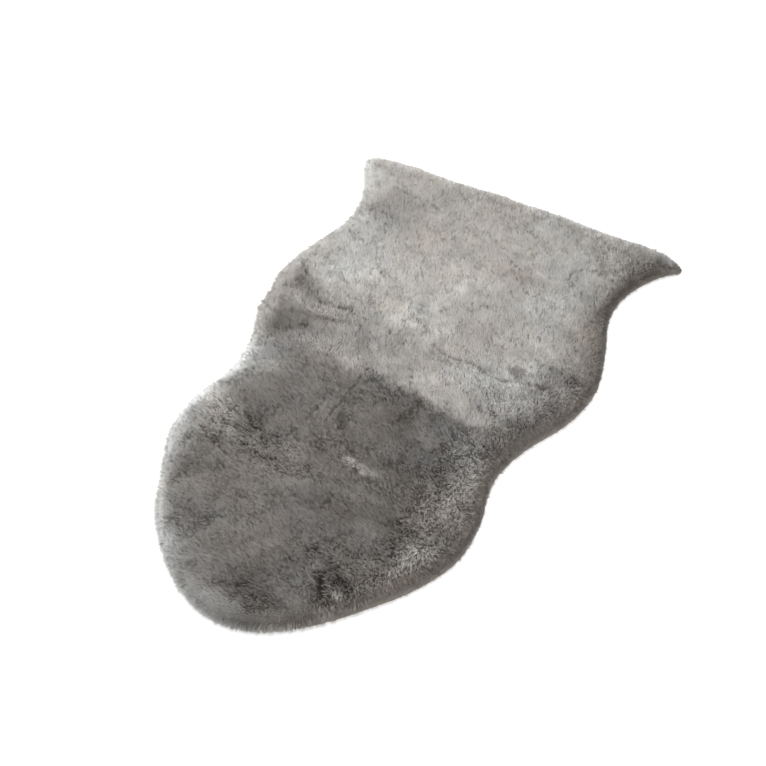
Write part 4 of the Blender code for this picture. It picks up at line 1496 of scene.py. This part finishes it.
# %% Loose locks and single wisps
CLUMP = 1.6              # outline points to a clump of loose wool
CLUMPED = 0.50           # share of a lock's reach and sway that its clump decides
CLUMP_SEED = 90
MOST_CHANCE = 1.8        # chance moves a lock by this many spreads at most
LOOSE_SWAY = 0.0030      # spread of the tips along the rim


def grow_loose(seed, side, tries, thick, paler, behind, past, tip_height, bow=None):
    """Locks from behind the brow out to the outline or past it, kept by chance where the rim is of their
    side. Neighbours come together in clumps, each with its own reach and sway. Under the neck, where the
    skin was brushed down, they reach out more evenly."""
    rule = np.random.default_rng(seed)
    turn = rule.uniform(0, RIM_POINTS, tries)
    cut = along_ring(CUT_ROUND, turn)
    wanted = cut if side == "cut" else 1.0 - 1.1 * cut
    turn = turn[rule.uniform(0, 1, tries) < wanted]
    count = len(turn)
    clump = np.floor(turn / CLUMP)
    clumps = np.random.default_rng(CLUMP_SEED).normal(0.0, 1.0, (int(RIM_POINTS / CLUMP) + 1, 2))
    chance = CLUMPED * clumps[clump.astype(int)]
    chance = chance + np.sqrt(1 - CLUMPED ** 2) * rule.normal(0.0, 1.0, (count, 2))
    chance = np.clip(chance, -MOST_CHANCE, MOST_CHANCE)
    drawn = (clump + 0.5) * CLUMP - turn
    way, beside = rim_ways(turn)
    edge_place = along_ring(EASED_OUTLINE, turn)
    root = edge_place - way * rule.uniform(*behind, (count, 1))
    uneven = 1.0 - 0.6 * soft_step(-way[:, 1:], 0.3, 0.9)
    end = edge_place + way * uneven * (past[0] + past[1] * chance[:, :1])
    end += beside * (LOOSE_SWAY * chance[:, 1:] + 0.3 * OUTLINE_STEP * drawn[:, None])
    height = np.clip(rule.normal(*tip_height, count), 0.0015, 0.020) * thinness(edge_place)
    lift = np.radians(rule.uniform(0, 50, count))
    loose = {
        "roots": np.column_stack([root, read_map(BED_HEIGHT, root) - 0.0005]),
        "tips": np.column_stack([end, height]),
        "radius": thick * rule.uniform(0.8, 1.3, count),
        "tone": read_map(TONE, (root + end) / 2) + paler + rule.normal(0.0, 0.04, count),
        "warmth": read_map(WARMTH, root) + rule.normal(0.0, TUFT_WARMTH, count),
        "lie": np.column_stack([np.cos(lift)[:, None] * way, np.sin(lift)]),
    }
    if bow:
        loose["bow"] = np.column_stack([np.zeros((count, 2)), bow * rule.uniform(0.6, 1.2, count)])
    return loose


loose = [put_tufts(f"wool_{name}", kind["seed"] + 10, **grow_loose(**kind)) for name, kind in LOOSE.items()]

# %% [markdown]
# ## Curls on the top
#
# Where the wool is tousled, small curls lie over the pile in all directions, with dark gaps between them.
# They are bent locks like those of the rim, thickest where the map says that the wool is most tousled.

# %% Curls
CURL_TRIES = 70000       # places tried: a place is kept by chance, more often where the wool is tousled
CURL_INSET = 0.011       # how far inside the outline curls begin
CURL_LENGTH = (0.003, 0.0075)
CURL_RADIUS = 0.00050
CURL_BOW = 0.0012        # how far its middle bows up, and to one side
CURL_ROOT = 0.0035       # how far under the tips its root lies
CURL_TURN = 0.9          # radians by which a curl's heading varies about the brushing


def grow_curls():
    """Root: under the tips. Tip: one length on, at the shorn surface or a little over it. Its middle bows up
    and to one side."""
    rule = np.random.default_rng(101)
    places = rule.uniform(PLAN[0, 0], PLAN[-1, -1], (CURL_TRIES, 2))
    tousle = read_map(TOUSLE, places)
    inset = read_map(INSET, places)
    kept = (inset > CURL_INSET) & (rule.uniform(0, 1, CURL_TRIES) < soft_step(tousle, 0.3, 1.0))
    places, tousle, inset = places[kept], tousle[kept], inset[kept]
    count = len(places)
    nap = read_map(NAP, places)
    spread = CURL_TURN * (0.35 + 0.65 * soft_step(inset, 0.030, 0.075))
    heading = np.arctan2(nap[:, 1], nap[:, 0]) + rule.normal(0.0, spread)
    way = unit(heading)
    ends = places + way * rule.uniform(*CURL_LENGTH, (count, 1))
    ends -= read_map(OUT, ends) * np.maximum(0.004 - read_map(INSET, ends), 0.0)[:, None]
    bow = CURL_BOW * square_to(way) * rule.uniform(-1, 1, (count, 1))
    return {
        "roots": np.column_stack([places, read_map(TIP_HEIGHT, places) - CURL_ROOT]),
        "tips": np.column_stack([ends, read_map(TIP_HEIGHT, ends) + rule.uniform(-0.0010, 0.0008, count)]),
        "radius": CURL_RADIUS * rule.uniform(0.7, 1.3, count),
        "tone": read_map(TONE, places) + 0.06 + rule.normal(0.0, 0.03, count),
        "warmth": read_map(WARMTH, places) + rule.normal(0.0, TUFT_WARMTH, count),
        "lie": read_map(SURFACE_NORMAL, ends) + 0.3 * rule.normal(0.0, 1.0, (count, 3)),
        "bow": np.column_stack([bow, CURL_BOW * rule.uniform(0.4, 1.2, count)]),
    }


curls = put_tufts("wool_curls", 102, **grow_curls())

# %% [markdown]
# ## Everything rides on the skin
#
# The rug has one body, so each piece rides on it, and the slab that the pieces stand for is hidden.

# %% The body, and the hidden slab
wool = [bed, *pile, wall, *loose, curls]
for piece in [hide, *wool]:
    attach(piece, "root")
    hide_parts("sheepskin")

# %% [markdown]
# ## Floor, light and camera
#
# A plain pale floor, a large soft light from the upper left, and a bright plain sky that fills the shadows.

# %% The stage
FLOOR_SIZE = 12.0
FLOOR_TONE = 0.92
FLOOR_GLOW = 0.55        # light of its own, as from a lit table, which thins the shadow
KEY_PLACE = (-2.0, 1.2, 2.4)
KEY_SIZE = 2.0
KEY_POWER = 115.0        # watts
SKY_STRENGTH = 1.0
WHITE = (1.0, 1.0, 1.0, 1.0)


def floor():
    """One square of matt near-white under the rug."""
    half = FLOOR_SIZE / 2
    corners = [(-half, -half, 0), (half, -half, 0), (half, half, 0), (-half, half, 0)]
    material, _, _ = principled("floor", {
        "Base Color": (FLOOR_TONE, FLOOR_TONE, FLOOR_TONE, 1.0),
        "Roughness": 1.0,
        "Specular IOR Level": 0.0,
        "Emission Color": WHITE,
        "Emission Strength": FLOOR_GLOW,
    })
    piece = put_mesh("floor", corners, [(0, 1, 2, 3)], material)
    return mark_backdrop(piece)


def aim(piece, place, ahead):
    """The piece stands at the place and faces ahead, as lights and cameras do along their own -Z."""
    piece.location = place
    piece.rotation_euler = ahead.to_track_quat("-Z", "Y").to_euler()


def soft_light(name, place, size, power):
    """A square area light that faces the middle of the rug."""
    lamp = bpy.data.lights.new(name, "AREA")
    lamp.size = size
    lamp.energy = power
    aim(put(name, lamp), place, -Vector(place))


def plain_sky(strength):
    """A world of one white, which lights the scene from all around."""
    world = bpy.data.worlds.new("sky")
    world.use_nodes = True
    tree = world.node_tree
    feed(tree, tree.nodes["Background"], {"Color": WHITE, "Strength": strength})
    bpy.context.scene.world = world


floor()
soft_light("key", KEY_PLACE, KEY_SIZE, KEY_POWER)
plain_sky(SKY_STRENGTH)
bpy.context.scene.view_settings.view_transform = "Standard"

# %% The camera
LENS = 55.0              # millimetres, on a film 36 mm wide
ELEVATION = 47.9         # degrees above the floor
AZIMUTH = 28.9           # degrees round from the neck end
DISTANCE = 1.783
LOOK_AT = (-0.0155, -0.0033, 0.0)    # the point of the floor in the middle of the picture


def add_camera():
    """Place = look-at point - distance * viewing direction, which follows from the two angles."""
    lift, turn = np.radians(ELEVATION), np.radians(AZIMUTH)
    ahead = Vector((-np.sin(turn) * np.cos(lift), np.cos(turn) * np.cos(lift), -np.sin(lift)))
    lens = bpy.data.cameras.new("camera")
    lens.lens = LENS
    camera = put("camera", lens)
    aim(camera, Vector(LOOK_AT) - DISTANCE * ahead, ahead)
    bpy.context.scene.camera = camera


add_camera()
